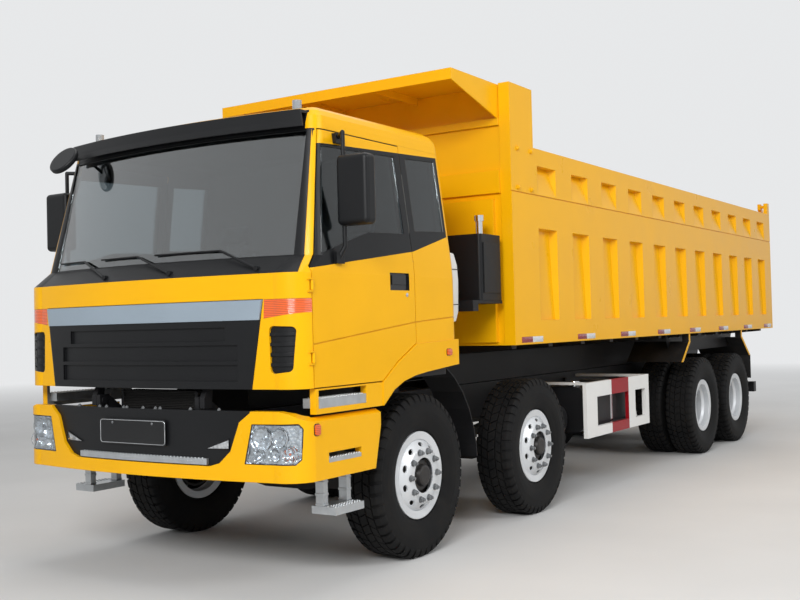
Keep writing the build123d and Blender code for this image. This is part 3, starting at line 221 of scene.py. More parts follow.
def rubber(name, colour, dust, patch=6.0, detail=8.0, fade=(0.42, 0.78), rough=(0.62, 0.85), grain=260.0,
           grain_detail=3.0, relief=0.15, deep=0.003):
    """Dark rubber with dust in patches."""
    s = Shader(name)
    spots = s.noise(patch, detail)
    s.link(s.ramp(spots, colour, dust, *fade), "Base Color")
    s.link(s.spread(spots, *rough), "Roughness")
    s.set(Specular_IOR_Level=0.2)
    s.bump(s.noise(grain, grain_detail), relief, deep)
    return s.material


def faceted(name, colour, facets=42.0, light=1.05, dark=0.6, fade=(0.1, 0.9), relief=0.3, deep=0.01):
    """Bright lamp reflector with small facets."""
    s = Shader(name)
    away = s.add("TexVoronoi", {"Scale": facets, "Vector": s.coords}).outputs["Distance"]
    s.link(s.ramp(away, shade(colour, light), shade(colour, dark), *fade), "Base Color")
    s.set(Metallic=1.0, Roughness=0.12)
    s.bump(away, relief, deep)
    return s.material


# Dark band round the side windows: above two lines, below a third and ahead of the rear edge
WINDOW_LOW = (
    # point y and z, slope
    (-1.151, 1.966, 0.126),
    (-0.117, 2.096, 0.265),
)
WINDOW_TOP = (-0.991, 2.736, 0.048)
WINDOW_REAR = 0.360


def window_band(s):
    y, z = s.axis("Y"), s.axis("Z")

    def above(point_y, point_z, slope):
        line = s.math("MULTIPLY_ADD", y, slope, point_z - slope * (point_y + FIRST_AXLE))
        return s.math("GREATER_THAN", z, line)

    inside = s.math("LESS_THAN", y, FIRST_AXLE + WINDOW_REAR)
    for line in WINDOW_LOW:
        inside = s.math("MULTIPLY", inside, above(*line))
    return s.math("SUBTRACT", inside, above(*WINDOW_TOP))


# Red lengths of the side guards
GUARD_RED = (3.361, 3.802)


def guard_band(s):
    y = s.axis("Y")
    after = s.math("GREATER_THAN", y, FIRST_AXLE + GUARD_RED[0])
    return s.math("MULTIPLY", after, s.math("LESS_THAN", y, FIRST_AXLE + GUARD_RED[1]))


YELLOW, BLACK, RED = rgb(244, 180, 8), rgb(20, 21, 23), rgb(150, 10, 24)
CAB_TINT = rgb(150, 160, 164)
# The frame has materials with these names, so a number follows the name of each new one
FINISH = {made.name.partition(".")[0]: made for made in (
    surface("yellow_paint", YELLOW, **CAB_PAINT),
    surface("black_paint", rgb(24, 24, 26), 0.45, vary=0.25, relief=0.05, edge=0.004, shine=DARK_SHINE),
    surface("cast_black", rgb(32, 31, 30), 0.65, vary=0.3, grain=350.0, relief=0.2, shine=DARK_SHINE),
    surface("black_plastic", rgb(19, 20, 22), 0.40, vary=0.1, grain=1400.0, relief=0.1, edge=0.004,
            shine=DARK_SHINE),
    surface("white_paint", rgb(232, 232, 230), 0.38, coat=0.2, edge=0.004, gloss=0.06, other=RED,
            band=guard_band, **PAINT),
    surface("wheel_silver", rgb(218, 221, 224), 0.34, 0.25, vary=0.06, relief=0.05, edge=0.004),
    rubber("tyre_rubber", rgb(13, 13, 14), rgb(28, 27, 26)),
    glass("cab_glass", CAB_TINT),
    glass("lamp_clear", rgb(240, 244, 247)),
    lens("lamp_orange", rgb(226, 92, 18), 30.0),
    fabric("seat_cloth", rgb(70, 72, 78)),
    surface("dash_plastic", rgb(62, 64, 68), 0.6, vary=0.08, grain=1600.0, relief=0.15),
    surface("step_steel", rgb(186, 190, 193), 0.38, 0.8, vary=0.08, patch=14.0, relief=0.08),
    surface("tank_white", rgb(228, 228, 224), 0.35, vary=0.03, relief=0.03, edge=0.012),
    surface("hoist_steel", rgb(200, 203, 206), 0.22, 1.0, vary=0.05, relief=0.02),
)}
WINDSCREEN = glass("windscreen_glass", CAB_TINT, coat=0.9)
CAB_SIDE = surface("cab_side_paint", YELLOW, gloss=0.06, other=BLACK, band=window_band, **CAB_PAINT)
BAR_GREY = surface("bar_grey", rgb(150, 164, 176), 0.36, 0.2, vary=0.04, relief=0.03, edge=0.004)
GLOSS_BLACK = surface("gloss_black", BLACK, 0.2, vary=0.08, relief=0.03, edge=0.003)
# Dark hub finish; on the steered wheels it also covers the disc behind the hand holes as painted shade
HUB_DARK_AND_HOLE_SHADE = surface("hub_dark_and_hole_shade", rgb(44, 42, 41), 0.45, 0.3, vary=0.25, relief=0.1, edge=0.003)
CHROME = surface("chrome", rgb(214, 217, 220), 0.14, 1.0, vary=0.03, relief=0.02)
NUT_STEEL = surface("nut_steel", rgb(140, 142, 144), 0.35, 0.9, vary=0.15, patch=30.0, relief=0.06)
LINING = surface("cab_lining", rgb(112, 112, 110), 0.8, vary=0.05, grain=500.0, relief=0.2)
REFLECTOR_RED = lens("reflector_red", RED, 260.0)
REFLECTOR_WHITE = lens("reflector_white", rgb(228, 230, 232), 260.0)
ROOF_LAMP = lens("roof_lamp", rgb(150, 156, 162), 60.0)
LAMP_RED = lens("lamp_red", rgb(190, 22, 26), 40.0)
BOWL = faceted("lamp_bowl", rgb(226, 229, 232))
BODY_INSIDE = surface("body_inside", shade(YELLOW, 0.92), 0.5, vary=0.12, patch=1.3, grain=300.0, relief=0.1)
# Black rubber of the flaps and seat bellows, also used as painted shade on the mudguards
RUBBER_AND_GUARD_SHADE = rubber("flap_rubber_and_guard_shade", rgb(24, 24, 25), rgb(44, 42, 40))
MIRROR_GLASS = surface("mirror_glass", rgb(208, 214, 218), 0.08, 1.0, vary=0.01, relief=0.0)


def dress_frame():
    """Each solid of the frame gets the finish of its slot."""
    for part in frame["record"]["subparts"]:
        mesh = NODES[part["node"]].data
        mesh.materials.clear()
        mesh.materials.append(FINISH[part["material_slot"]])


def paint(node, material, chosen):
    """Another finish on the faces of a solid whose middles pass a test; y counts from the first axle."""
    mesh = NODES[node].data
    mesh.materials.append(material)
    index = len(mesh.materials) - 1
    offset = Vector((0, FIRST_AXLE, 0))
    for face in mesh.polygons:
        if chosen(face.center - offset, face.normal):
            face.material_index = index


def repaint(node, material):
    NODES[node].data.materials[0] = material


# Areas with another finish: limits for the faces' middles, y from the first axle, and for their normals
CAB_MIDDLE = Vector((0.0, -0.45, 2.05))
CAB_SHELL = ("cab_front", "cab_sides", "cab_back", "cab_roof", "door_left", "door_right")
LINING_INWARD, LINING_X, LINING_Y = 0.25, 1.2, (-1.42, 0.39)
HANDLE_X, HANDLE_Y, HANDLE_Z, HANDLE_OUT = (1.2, 1.2375), (-0.45, -0.18), (1.82, 1.955), -0.5
ROOF_EDGE_Y, ROOF_EDGE_X, ROOF_DOWN, ROOF_AHEAD = -0.9, 1.05, -0.2, -0.6
VISOR_Z, VISOR_X = 2.80, 1.1
WINDSCREEN_Y = -0.9
BAR_Z, BAR_AHEAD = 1.651, 0.3
BED_BEAM_Z, BED_TOP_Z, BED_TOP_UP, BED_INWARD = 1.4135, 1.42, 0.9, -0.5
BUMPER_STRIP_X, BUMPER_STRIP_Y, BUMPER_STRIP_Z = 0.571, -1.4, (0.7845, 0.8235)
TRIM_STEP_Z = 1.3
ROOF_LAMP_X, ROOF_LAMP_Y, ROOF_LAMP_Z = 0.85, -1.0, 2.98
STACK_Z = 2.30
REAR_LAMP_Y = 8.5605
FLAP_TOP_Z, GUARD_SHADE_OUTWARD = 1.085, 0.5
HUB_AND_HOLE_SHADE_RADIUS = (0.236, 0.236, 0.118, 0.118)


def within(value, limits):
    return limits[0] < value < limits[1]


def lining(point, normal):
    """Faces of the cab walls that look inwards."""
    inward = (CAB_MIDDLE - point).normalized()
    return normal.dot(inward) > LINING_INWARD and abs(point.x) < LINING_X and within(point.y, LINING_Y)


def handle(point, normal):
    """Faces of a door handle and its pocket."""
    return (within(abs(point.x), HANDLE_X) and within(point.y, HANDLE_Y) and within(point.z, HANDLE_Z)
            and normal.x * point.x > HANDLE_OUT)


dress_frame()
for side, _ in SIDES:
    repaint(f"door_{side}", CAB_SIDE)
    paint(f"door_{side}", GLOSS_BLACK, handle)
repaint("cab_sides", CAB_SIDE)
for node in CAB_SHELL:
    paint(node, LINING, lining)
paint("cab_roof", FINISH["black_plastic"],
      lambda p, n: p.y < ROOF_EDGE_Y and abs(p.x) < ROOF_EDGE_X and (n.z < ROOF_DOWN or n.y < ROOF_AHEAD))
paint("cab_front", FINISH["black_plastic"], lambda p, n: p.z > VISOR_Z and abs(p.x) < VISOR_X)
paint("cab_glass", WINDSCREEN, lambda p, n: p.y < WINDSCREEN_Y)
paint("grille", BAR_GREY, lambda p, n: p.z > BAR_Z and n.y < BAR_AHEAD)
# Beams and joists under the bed floor get the black finish as painted shade under the body
paint("bed_floor", FINISH["black_paint"], lambda p, n: p.z < BED_BEAM_Z)
paint("bumper_insert", FINISH["step_steel"],
      lambda p, n: abs(p.x) < BUMPER_STRIP_X and p.y < BUMPER_STRIP_Y and within(p.z, BUMPER_STRIP_Z))
paint("cab_trim", FINISH["step_steel"], lambda p, n: p.z < TRIM_STEP_Z)
paint("cab_trim", ROOF_LAMP, lambda p, n: abs(p.x) > ROOF_LAMP_X and p.y > ROOF_LAMP_Y and p.z > ROOF_LAMP_Z)
paint("air_cleaner", CHROME, lambda p, n: p.z > STACK_Z)
paint("rear_bar", LAMP_RED, lambda p, n: p.y > REAR_LAMP_Y)
# Mudguard faces that don't face outwards get the dark rubber finish as painted shade; the mud flaps below are
# rubber
paint("bed_mudguards", RUBBER_AND_GUARD_SHADE, lambda p, n: n.x * p.x < GUARD_SHADE_OUTWARD or p.z < FLAP_TOP_Z)
paint("bed_floor", BODY_INSIDE, lambda p, n: n.z > BED_TOP_UP and p.z > BED_TOP_Z)
paint("bed_sides", BODY_INSIDE, lambda p, n: n.x * p.x < BED_INWARD)
# Dark hubs; on the steered wheels the dark reaches over the disc behind the hand holes, painted shade that
# makes the holes look dark
for number, (axle, dark_reach) in enumerate(zip(AXLES, HUB_AND_HOLE_SHADE_RADIUS), 1):
    for side, _ in SIDES:
        paint(f"wheel_{number}_{side}", HUB_DARK_AND_HOLE_SHADE,
              lambda p, n: math.hypot(p.y - axle.y + FIRST_AXLE, p.z - axle.z) < dark_reach)


# Washer, hexagon and stud of a nut: shares of its height and width, segments
NUT_PARTS = (
    (((0, 0.72), (0.15, 0.72)), 16),
    (((0.1, 0.55), (0.8, 0.55), (0.9, 0.47)), 6),
    (((0.5, 0.32), (1.25, 0.32), (1.3, 0.24)), 12),
)


def turns(count, shift=0):
    """Angles that share a full turn."""
    return [2 * math.pi * (k + shift) / count for k in range(count)]


def skin(rings, closed=False):
    """Corners and faces of a skin over rings of points; its ends are capped unless it closes on itself."""
    count, sides, faces = len(rings), len(rings[0]), []
    for i in range(count if closed else count - 1):
        n = (i + 1) % count
        for k in range(sides):
            m = (k + 1) % sides
            faces.append((i * sides + k, i * sides + m, n * sides + m, n * sides + k))
    if not closed:
        faces += [tuple(reversed(range(sides))), tuple(range((count - 1) * sides, count * sides))]
    return [v for ring in rings for v in ring], faces


def wheel_rings(profile, segments):
    """Rings of a profile of (across, radius) turned about the x axis."""
    return [[Vector((x, r * math.sin(a), r * math.cos(a))) for x, r in profile] for a in turns(segments)]


def show(name, data):
    """New object in the scene."""
    obj = bpy.data.objects.new(name, data)
    bpy.context.scene.collection.objects.link(obj)
    return obj


class Piece:
    """Mesh under way: shapes join it one by one, each with its finish."""

    def __init__(self, name):
        self.name, self.verts, self.faces, self.slots, self.finishes = name, [], [], [], []

    def take(self, verts, faces, finish):
        if finish not in self.finishes:
            self.finishes.append(finish)
        start = len(self.verts)
        self.verts += [tuple(v) for v in verts]
        self.faces += [tuple(start + i for i in face) for face in faces]
        self.slots += [self.finishes.index(finish)] * len(faces)

    def prism(self, points, push, finish, bevel=0.0):
        """Flat outline pushed along a vector, its edges eased."""
        bm = bmesh.new()
        low = [bm.verts.new(p) for p in points]
        top = [bm.verts.new(Vector(p) + Vector(push)) for p in points]
        bm.faces.new(low)
        bm.faces.new(reversed(top))
        for k in range(len(low)):
            bm.faces.new((low[k - 1], low[k], top[k], top[k - 1]))
        bmesh.ops.recalc_face_normals(bm, faces=bm.faces)
        if bevel:
            bmesh.ops.bevel(bm, geom=bm.edges[:], offset=bevel, segments=2, profile=0.6, affect="EDGES")
            bmesh.ops.recalc_face_normals(bm, faces=bm.faces)
        bm.verts.index_update()
        self.take([v.co for v in bm.verts], [[v.index for v in f.verts] for f in bm.faces], finish)
        bm.free()

    def block(self, low, high, finish, bevel=0.002):
        (x0, y0, z0), (x1, y1, z1) = low, high
        self.prism([(x0, y0, z0), (x1, y0, z0), (x1, y1, z0), (x0, y1, z0)], (0, 0, z1 - z0), finish, bevel)

    def lathe(self, profile, spot, axis, finish, segments=24):
        """Profile of (along, radius) turned about an axis through a spot."""
        turn = Vector((0, 0, 1)).rotation_difference(Vector(axis)).to_matrix()
        rings = [[Vector(spot) + turn @ Vector((radius * math.cos(a), radius * math.sin(a), along))
                  for a in turns(segments)] for along, radius in profile]
        self.take(*skin(rings), finish)

    def tube(self, path, radius, finish, sides=10, closed=False):
        """Round bar along a path of points."""
        path = [Vector(p) for p in path]
        count, rings, normal = len(path), [], None
        for k, point in enumerate(path):
            before = path[k - 1] if k or closed else point
            after = path[(k + 1) % count] if k + 1 < count or closed else point
            along = (after - before).normalized()
            if normal is None:
                normal = along.orthogonal().normalized()
            normal = (normal - along * normal.dot(along)).normalized()
            across = along.cross(normal)
            rings.append([point + radius * (math.cos(a) * normal + math.sin(a) * across)
                          for a in turns(sides)])
        self.take(*skin(rings, closed), finish)

    def nut(self, spot, axis, across, height, finish):
        """Hexagon nut on a washer with the stud's end showing."""
        for shares, segments in NUT_PARTS:
            profile = [(height * along, across * radius) for along, radius in shares]
            self.lathe(profile, spot, axis, finish, segments)

    def done(self, body, *nodes, angle=35):
        """Object from the mesh, on its body and in place of the nodes named."""
        mesh = bpy.data.meshes.new(self.name)
        mesh.from_pydata(self.verts, [], self.faces)
        for finish in self.finishes:
            mesh.materials.append(finish)
        mesh.polygons.foreach_set("material_index", self.slots)
        mesh.shade_smooth()
        mesh.set_sharp_from_angle(angle=math.radians(angle))
        obj = show(self.name, mesh)
        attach(obj, body)
        if nodes:
            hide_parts(*nodes)


def place(x, y, z):
    """Point whose y counts from the first axle."""
    return Vector((x, y + FIRST_AXLE, z))


def shown_mesh(obj):
    """Mesh of an object with its modifiers applied."""
    graph = bpy.context.evaluated_depsgraph_get()
    return bpy.data.meshes.new_from_object(obj.evaluated_get(graph))


TREES = {}


def hit(node, start, direction):
    """Where a line meets a solid of the frame, and its normal there."""
    if node not in TREES:
        TREES[node] = BVHTree.FromObject(NODES[node], bpy.context.evaluated_depsgraph_get())
    return TREES[node].ray_cast(Vector(start), Vector(direction))[:2]


def on_front(node, x, z):
    return hit(node, (x, CAD_BOX[0].y - 1, z), (0, 1, 0))


def on_insert(x, z):
    return on_front("bumper_insert", x, z)[0]


def on_side(node, s, y, z):
    return hit(node, (s * (CAD_BOX[1].x + 1), y + FIRST_AXLE, z), (-s, 0, 0))


# Tyres: a carcass with shoulder lugs and rows of tread blocks
TYRE_SEGMENTS, TYRE_HALF, TYRE_CREASE, PITCHES, TREAD_DEEP = 96, 0.1575, 28, 46, 0.014
CARCASS = ((0.1076, 0.2546), (0.1076, 0.304), (0.128, 0.3145), (0.140, 0.340), (0.1415, 0.346),
           (0.1425, 0.352), (0.1495, 0.372), (0.1560, 0.405), (0.1570, 0.436), (0.1575, 0.441),
           (0.1570, 0.446), (0.1555, 0.480), (0.1520, 0.505), (0.1450, 0.523), (0.1340, 0.538),
           (0.1180, 0.5460))
LUG = ((0.094, 0.561), (0.118, 0.5607), (0.131, 0.5575), (0.1415, 0.5480), (0.1495, 0.5310), (0.1535, 0.5140))
TREAD_ROWS = (
    # across positions, share of the pitch that the block fills, offset in pitches, slant
    (LUG, 0.70, 0.0, 0.25),
    (((0.040, 0.561), (0.084, 0.561)), 0.86, 0.5, -0.9),
    (((-0.029, 0.561), (0.029, 0.561)), 0.88, 0.25, 0.9),
    (((-0.084, 0.561), (-0.040, 0.561)), 0.86, 0.0, -0.9),
    (tuple((-x, r) for x, r in LUG), 0.70, 0.5, -0.25),
)


def tyre_shape():
    profile = CARCASS + tuple((-x, r) for x, r in reversed(CARCASS))
    verts, faces = skin(wheel_rings(profile, TYRE_SEGMENTS), True)
    pitch = 2 * math.pi / PITCHES
    for stations, share, offset, slant in TREAD_ROWS:
        for p in range(PITCHES):
            start, rows = len(verts), len(stations)
            for depth in (TREAD_DEEP, 0.0):
                for x, r in stations:
                    for k in (-0.5, 0.0, 0.5):
                        a = (p + offset + k * share) * pitch + slant * x
                        verts.append(Vector((x, (r - depth) * math.sin(a), (r - depth) * math.cos(a))))
            top = start + 3 * rows
            for i in range(rows - 1):
                for k in (0, 1):
                    t = top + 3 * i + k
                    faces.append((t, t + 1, t + 4, t + 3))
                for k in (0, 2):
                    b, t = start + 3 * i + k, top + 3 * i + k
                    faces.append((b, t, t + 3, b + 3))
            for i in (0, rows - 1):
                for k in (0, 1):
                    b, t = start + 3 * i + k, top + 3 * i + k
                    faces.append((b, b + 1, t + 1, t))
    return verts, faces


# Wheel nuts, and how far the faces under them lie from the wheel's middle
NUT_RING, NUT_COUNT, NUT_ACROSS, NUT_TALL = 0.1675, 10, 0.033, 0.030
STEERED_AXLES, STEER_FACE, TWIN_FACE = 2, 0.160, 0.014

# Bulging disc of the steered wheels, with hand holes
DISC = ((0.098, 0.2445), (0.112, 0.2440), (0.124, 0.2330), (0.136, 0.2150), (0.148, 0.1985), (0.156, 0.1895),
        (0.160, 0.1800), (0.160, 0.1210), (0.151, 0.1210), (0.151, 0.1770), (0.146, 0.1840), (0.128, 0.2070),
        (0.114, 0.2260), (0.104, 0.2350), (0.098, 0.2365))
DISC_SEGMENTS, HOLE_COUNT, HOLE_SEGMENTS = 120, 10, 24
HOLE_RING, HOLE_LONG, HOLE_HIGH, HOLE_X = 0.212, 0.026, 0.0145, (0.08, 0.20)


def disc_shape():
    disc = Piece("disc")
    disc.take(*skin(wheel_rings(DISC, DISC_SEGMENTS), True), FINISH["wheel_silver"])
    holes = Piece("holes")
    foot = Vector((HOLE_X[0], 0, 0))
    for a in turns(HOLE_COUNT):
        out, along = Vector((0, math.sin(a), math.cos(a))), Vector((0, math.cos(a), -math.sin(a)))
        rim = [foot + out * (HOLE_RING + HOLE_HIGH * math.sin(b)) + along * HOLE_LONG * math.cos(b)
               for b in turns(HOLE_SEGMENTS)]
        holes.prism(rim, (HOLE_X[1] - HOLE_X[0], 0, 0), FINISH["wheel_silver"])
    solids = []
    for piece in (disc, holes):
        mesh = bpy.data.meshes.new(piece.name)
        mesh.from_pydata(piece.verts, [], piece.faces)
        bm = bmesh.new()
        bm.from_mesh(mesh)
        bmesh.ops.recalc_face_normals(bm, faces=bm.faces)
        bm.to_mesh(mesh)
        bm.free()
        solids.append(show(piece.name, mesh))
    cut = solids[0].modifiers.new("holes", "BOOLEAN")
    cut.operation, cut.solver, cut.object = "DIFFERENCE", "EXACT", solids[1]
    mesh = shown_mesh(solids[0])
    for obj in solids:
        bpy.data.objects.remove(obj)
    return [v.co.copy() for v in mesh.vertices], [tuple(f.vertices) for f in mesh.polygons]


def make_wheels():
    verts, faces = tyre_shape()
    disc_verts, disc_faces = disc_shape()
    for n, axle in enumerate(AXLES):
        for side, s in SIDES:
            node, body = f"tyre_{n + 1}_{side}", f"road_wheel_{n + 1}_{side}"
            low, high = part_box(node)
            steered = n < STEERED_AXLES
            centres = ((low.x + high.x) / 2,) if steered else (low.x + TYRE_HALF, high.x - TYRE_HALF)
            tyre = Piece(f"tyre_tread_{n + 1}_{side}")
            for x in centres:
                tyre.take([v + Vector((x, axle.y, axle.z)) for v in verts], faces, FINISH["tyre_rubber"])
            tyre.done(body, node, angle=TYRE_CREASE)
            middle = sum(centres) / len(centres)
            if steered:
                disc = Piece(f"wheel_disc_{n + 1}_{side}")
                disc.take([Vector((middle + s * v.x, axle.y + v.y, axle.z + v.z)) for v in disc_verts],
                          disc_faces if s > 0 else [tuple(reversed(f)) for f in disc_faces],
                          FINISH["wheel_silver"])
                disc.done(body)
            nuts = Piece(f"wheel_nuts_{n + 1}_{side}")
            face = middle + s * (STEER_FACE if steered else TWIN_FACE)
            for a in turns(NUT_COUNT, 0.5):
                spot = Vector((face, axle.y + NUT_RING * math.sin(a), axle.z + NUT_RING * math.cos(a)))
                nuts.nut(spot, (s, 0, 0), NUT_ACROSS, NUT_TALL, NUT_STEEL)
            nuts.done(body)


make_wheels()


# Headlamps: a clear cover over faceted bowls with their bulbs
LAMP_LEFT = ((0.800, 0.852), (1.036, 0.907))
LAMP_RIGHT = ((0.800, 1.178), (0.830, 1.204), (1.010, 1.210), (1.036, 1.196))
LAMP_ROWS, LAMP_COLUMNS = 40, 54
LAMP_FOOT, LAMP_TOP = LAMP_LEFT[0][0] + 0.002, LAMP_LEFT[1][0] - 0.001
COVER_T, COVER_GAP, BOWL_RIM, BOWL_DEEP = 0.003, 0.001, 0.012, 0.030
SEAL_R, RING_R, RING_SEGMENTS, LAMP_CREASE = 0.004, 0.0025, 32, 40
BULB_FOOT = ((0, 0.012), (0.010, 0.012), (0.011, 0.008))
BULB = ((0.010, 0.007), (0.020, 0.0085), (0.027, 0.006), (0.030, 0.002))
BOWLS = (
    # centre x, centre z, radius, bulb finish
    (0.962, 0.950, 0.072, "lamp_clear"),
    (1.085, 0.958, 0.060, "lamp_clear"),
    (1.150, 0.862, 0.048, "lamp_orange"),
    (0.945, 0.850, 0.038, "lamp_clear"),
    (1.050, 0.858, 0.040, "lamp_clear"),
)


def edge_at(table, z):
    """Distance from the middle at a height, between the table's rows."""
    for (z0, x0), (z1, x1) in zip(table, table[1:]):
        if z <= z1:
            return x0 + (x1 - x0) * (z - z0) / (z1 - z0)


def grid(rows, columns):
    return [(r * columns + c, r * columns + c + 1, (r + 1) * columns + c + 1, (r + 1) * columns + c)
            for r in range(rows - 1) for c in range(columns - 1)]


def make_headlamps():
    lamps = Piece("headlamp_units")
    for s in SIGNS:
        cover, inside, bowl = [], [], []
        for r in range(LAMP_ROWS):
            z = LAMP_FOOT + (LAMP_TOP - LAMP_FOOT) * r / (LAMP_ROWS - 1)
            x0, x1 = edge_at(LAMP_LEFT, z), edge_at(LAMP_RIGHT, z)
            for c in range(LAMP_COLUMNS):
                x = x0 + (x1 - x0) * c / (LAMP_COLUMNS - 1)
                point, normal = on_front("headlamps", s * x, z)
                rim = min(r, c, LAMP_ROWS - 1 - r, LAMP_COLUMNS - 1 - c) == 0
                deep = 0.0
                for bx, bz, radius, _ in BOWLS:
                    away = math.hypot(x - bx, z - bz) / radius
                    if away < 1:
                        deep = max(deep, BOWL_DEEP * math.sqrt(1 - away * away))
                cover.append(point)
                inside.append(point - normal * COVER_T)
                bowl.append(point - normal * (COVER_T + COVER_GAP if rim else BOWL_RIM + deep))
        faces = grid(LAMP_ROWS, LAMP_COLUMNS)
        flipped = [tuple(reversed(f)) for f in faces]
        lamps.take(cover, faces if s > 0 else flipped, FINISH["lamp_clear"])
        lamps.take(inside, flipped if s > 0 else faces, FINISH["lamp_clear"])
        lamps.take(bowl, faces if s > 0 else flipped, BOWL)
        n = LAMP_COLUMNS
        border = cover[:n] + cover[2 * n - 1::n] + cover[-2:-n - 1:-1] + cover[-2 * n:0:-n]
        lamps.tube(border, SEAL_R, GLOSS_BLACK, sides=6, closed=True)
        for x, z, radius, bulb in BOWLS:
            point, normal = on_front("headlamps", s * x, z)
            foot = point - normal * (BOWL_RIM + BOWL_DEEP)
            lamps.lathe(BULB_FOOT, foot, normal, CHROME, segments=12)
            lamps.lathe(BULB, foot, normal, FINISH[bulb], segments=12)
            ring = [point - normal * BOWL_RIM + Vector((radius * math.cos(a), 0, radius * math.sin(a)))
                    for a in turns(RING_SEGMENTS)]
            lamps.tube(ring, RING_R, CHROME, sides=6, closed=True)
    lamps.done("chassis", "headlamps", angle=LAMP_CREASE)


# Blank number plate on its spacers
PLATE_X, PLATE_Z, PLATE_OUT, PLATE_T = (-0.350, 0.250), (0.884, 1.046), 0.012, 0.003
PLATE_R, PLATE_RIM, PLATE_BEAD = 0.018, 0.008, 0.0022
SPACERS, SPACER_X, SPACER_Z, SPACER_IN = (0.2, 0.8), 0.03, 0.02, 0.001
PLATE_NUT_DOWN, PLATE_NUT = 0.025, (0.012, 0.003)


def rounded(x, z, radius, steps=5):
    """Corner points of an upright rectangle with rounded corners."""
    points = []
    for cx, cz, start in ((x[1], z[1], 0), (x[0], z[1], 90), (x[0], z[0], 180), (x[1], z[0], 270)):
        mx, mz = cx - math.copysign(radius, cx - sum(x) / 2), cz - math.copysign(radius, cz - sum(z) / 2)
        for k in range(steps + 1):
            a = math.radians(start + 90 * k / steps)
            points.append((mx + radius * math.cos(a), mz + radius * math.sin(a)))
    return points


def make_plate():
    plate = Piece("number_plate")
    z = sum(PLATE_Z) / 2
    y = on_insert(sum(PLATE_X) / 2, z).y - PLATE_OUT
    outline = [(a, y, b) for a, b in rounded(PLATE_X, PLATE_Z, PLATE_R)]
    plate.prism(outline, (0, -PLATE_T, 0), GLOSS_BLACK)
    inner = [(low + PLATE_RIM, high - PLATE_RIM) for low, high in (PLATE_X, PLATE_Z)]
    plate.tube([(a, y - PLATE_T, b) for a, b in rounded(*inner, PLATE_R)], PLATE_BEAD, CHROME,
               sides=6, closed=True)
    for share in SPACERS:
        x = PLATE_X[0] + share * (PLATE_X[1] - PLATE_X[0])
        back = on_insert(x, z)
        plate.block((x - SPACER_X, y, z - SPACER_Z), (x + SPACER_X, back.y + SPACER_IN, z + SPACER_Z),
                    FINISH["black_plastic"])
        plate.nut((x, y - PLATE_T, PLATE_Z[1] - PLATE_NUT_DOWN), (0, -1, 0), *PLATE_NUT, NUT_STEEL)
    plate.done("chassis")


# Radiator fins between their rails, and bolts on the ledge of the bumper insert
FIN_COUNT, FIN_SPAN, FIN_Z, FIN_HALF, FIN_OUT, FIN_CLEAR = 12, 0.325, (1.085, 1.205), 0.0025, 0.010, 0.0005
RAIL_HALF, RAIL_OUT, RAIL_Z = 0.012, 0.014, (FIN_Z[0] - 0.02, FIN_Z[1] + 0.008)
LEDGE_BOLTS = (-0.62, -0.40, -0.33, -0.16, -0.13, 0.02, 0.13, 0.17, 0.42, 0.64)
LEDGE_DOWN, LEDGE_IN, LEDGE_BOLT = 0.010, 0.020, (0.020, 0.012)


def make_radiator():
    core = Piece("radiator_core")
    y = on_front("drivetrain", 0.0, sum(FIN_Z) / 2)[0].y
    for k in range(FIN_COUNT):
        z = FIN_Z[0] + (FIN_Z[1] - FIN_Z[0]) * k / (FIN_COUNT - 1)
        core.block((-FIN_SPAN, y - FIN_OUT, z - FIN_HALF), (FIN_SPAN, y - FIN_CLEAR, z + FIN_HALF),
                   FINISH["cast_black"], bevel=0.001)
    for x in (-FIN_SPAN - RAIL_HALF, FIN_SPAN + RAIL_HALF):
        core.block((x - RAIL_HALF, y - RAIL_OUT, RAIL_Z[0]), (x + RAIL_HALF, y - FIN_CLEAR, RAIL_Z[1]),
                   FINISH["black_paint"])
    core.done("chassis")
    bolts = Piece("bumper_bolts")
    _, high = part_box("bumper_insert")
    for x in LEDGE_BOLTS:
        front = on_insert(x, high.z - LEDGE_DOWN)
        bolts.nut((x, front.y + LEDGE_IN, high.z), (0, 0, 1), *LEDGE_BOLT, NUT_STEEL)
    bolts.done("chassis")


# Reflecting strips along the foot of the body
STRIP_Y = (1.434, 2.535, 3.559, 4.603, 5.661, 6.776, 7.886, 8.898)
STRIP_LONG, STRIP_Z, STRIP_T = 0.387, (1.430, 1.477), 0.003


def make_strips():
    for side, s in SIDES:
        strips = Piece(f"body_reflectors_{side}")
        for y in STRIP_Y:
            for start, finish in ((0.0, REFLECTOR_RED), (0.5, REFLECTOR_WHITE)):
                y0 = y + start * STRIP_LONG
                y1 = y0 + STRIP_LONG / 2
                x = on_side("bed_sides", s, (y0 + y1) / 2, sum(STRIP_Z) / 2)[0].x
                corners = ((y0, STRIP_Z[0]), (y1, STRIP_Z[0]), (y1, STRIP_Z[1]), (y0, STRIP_Z[1]))
                outline = [place(x, b, c) for b, c in corners]
                strips.prism(outline, (s * STRIP_T, 0, 0), finish, bevel=0.001)
        strips.done("bed")


# Grip studs on the steps
STUD_R, STUD_TALL, STUD_PITCH = 0.0055, 0.005, 0.028
STUD, FLAT_STUD = ((0, STUD_R), (STUD_TALL, STUD_R * 0.7)), ((0, STUD_R), (0.002, STUD_R * 0.8))
STEPS = (
    # name, body, x range, y range, top z
    ("upper_step", "cab", (1.135, 1.226), (-1.210, -0.742), 1.176),
    ("lower_step", "chassis", (1.200, 1.230), (-1.122, -0.812), 0.815),
    ("hanging_step", "chassis", (1.100, 1.178), (-1.000, -0.726), 0.498),
)


def add_stud(piece, profile, spot, axis):
    piece.lathe(profile, spot, axis, FINISH["step_steel"], segments=8)


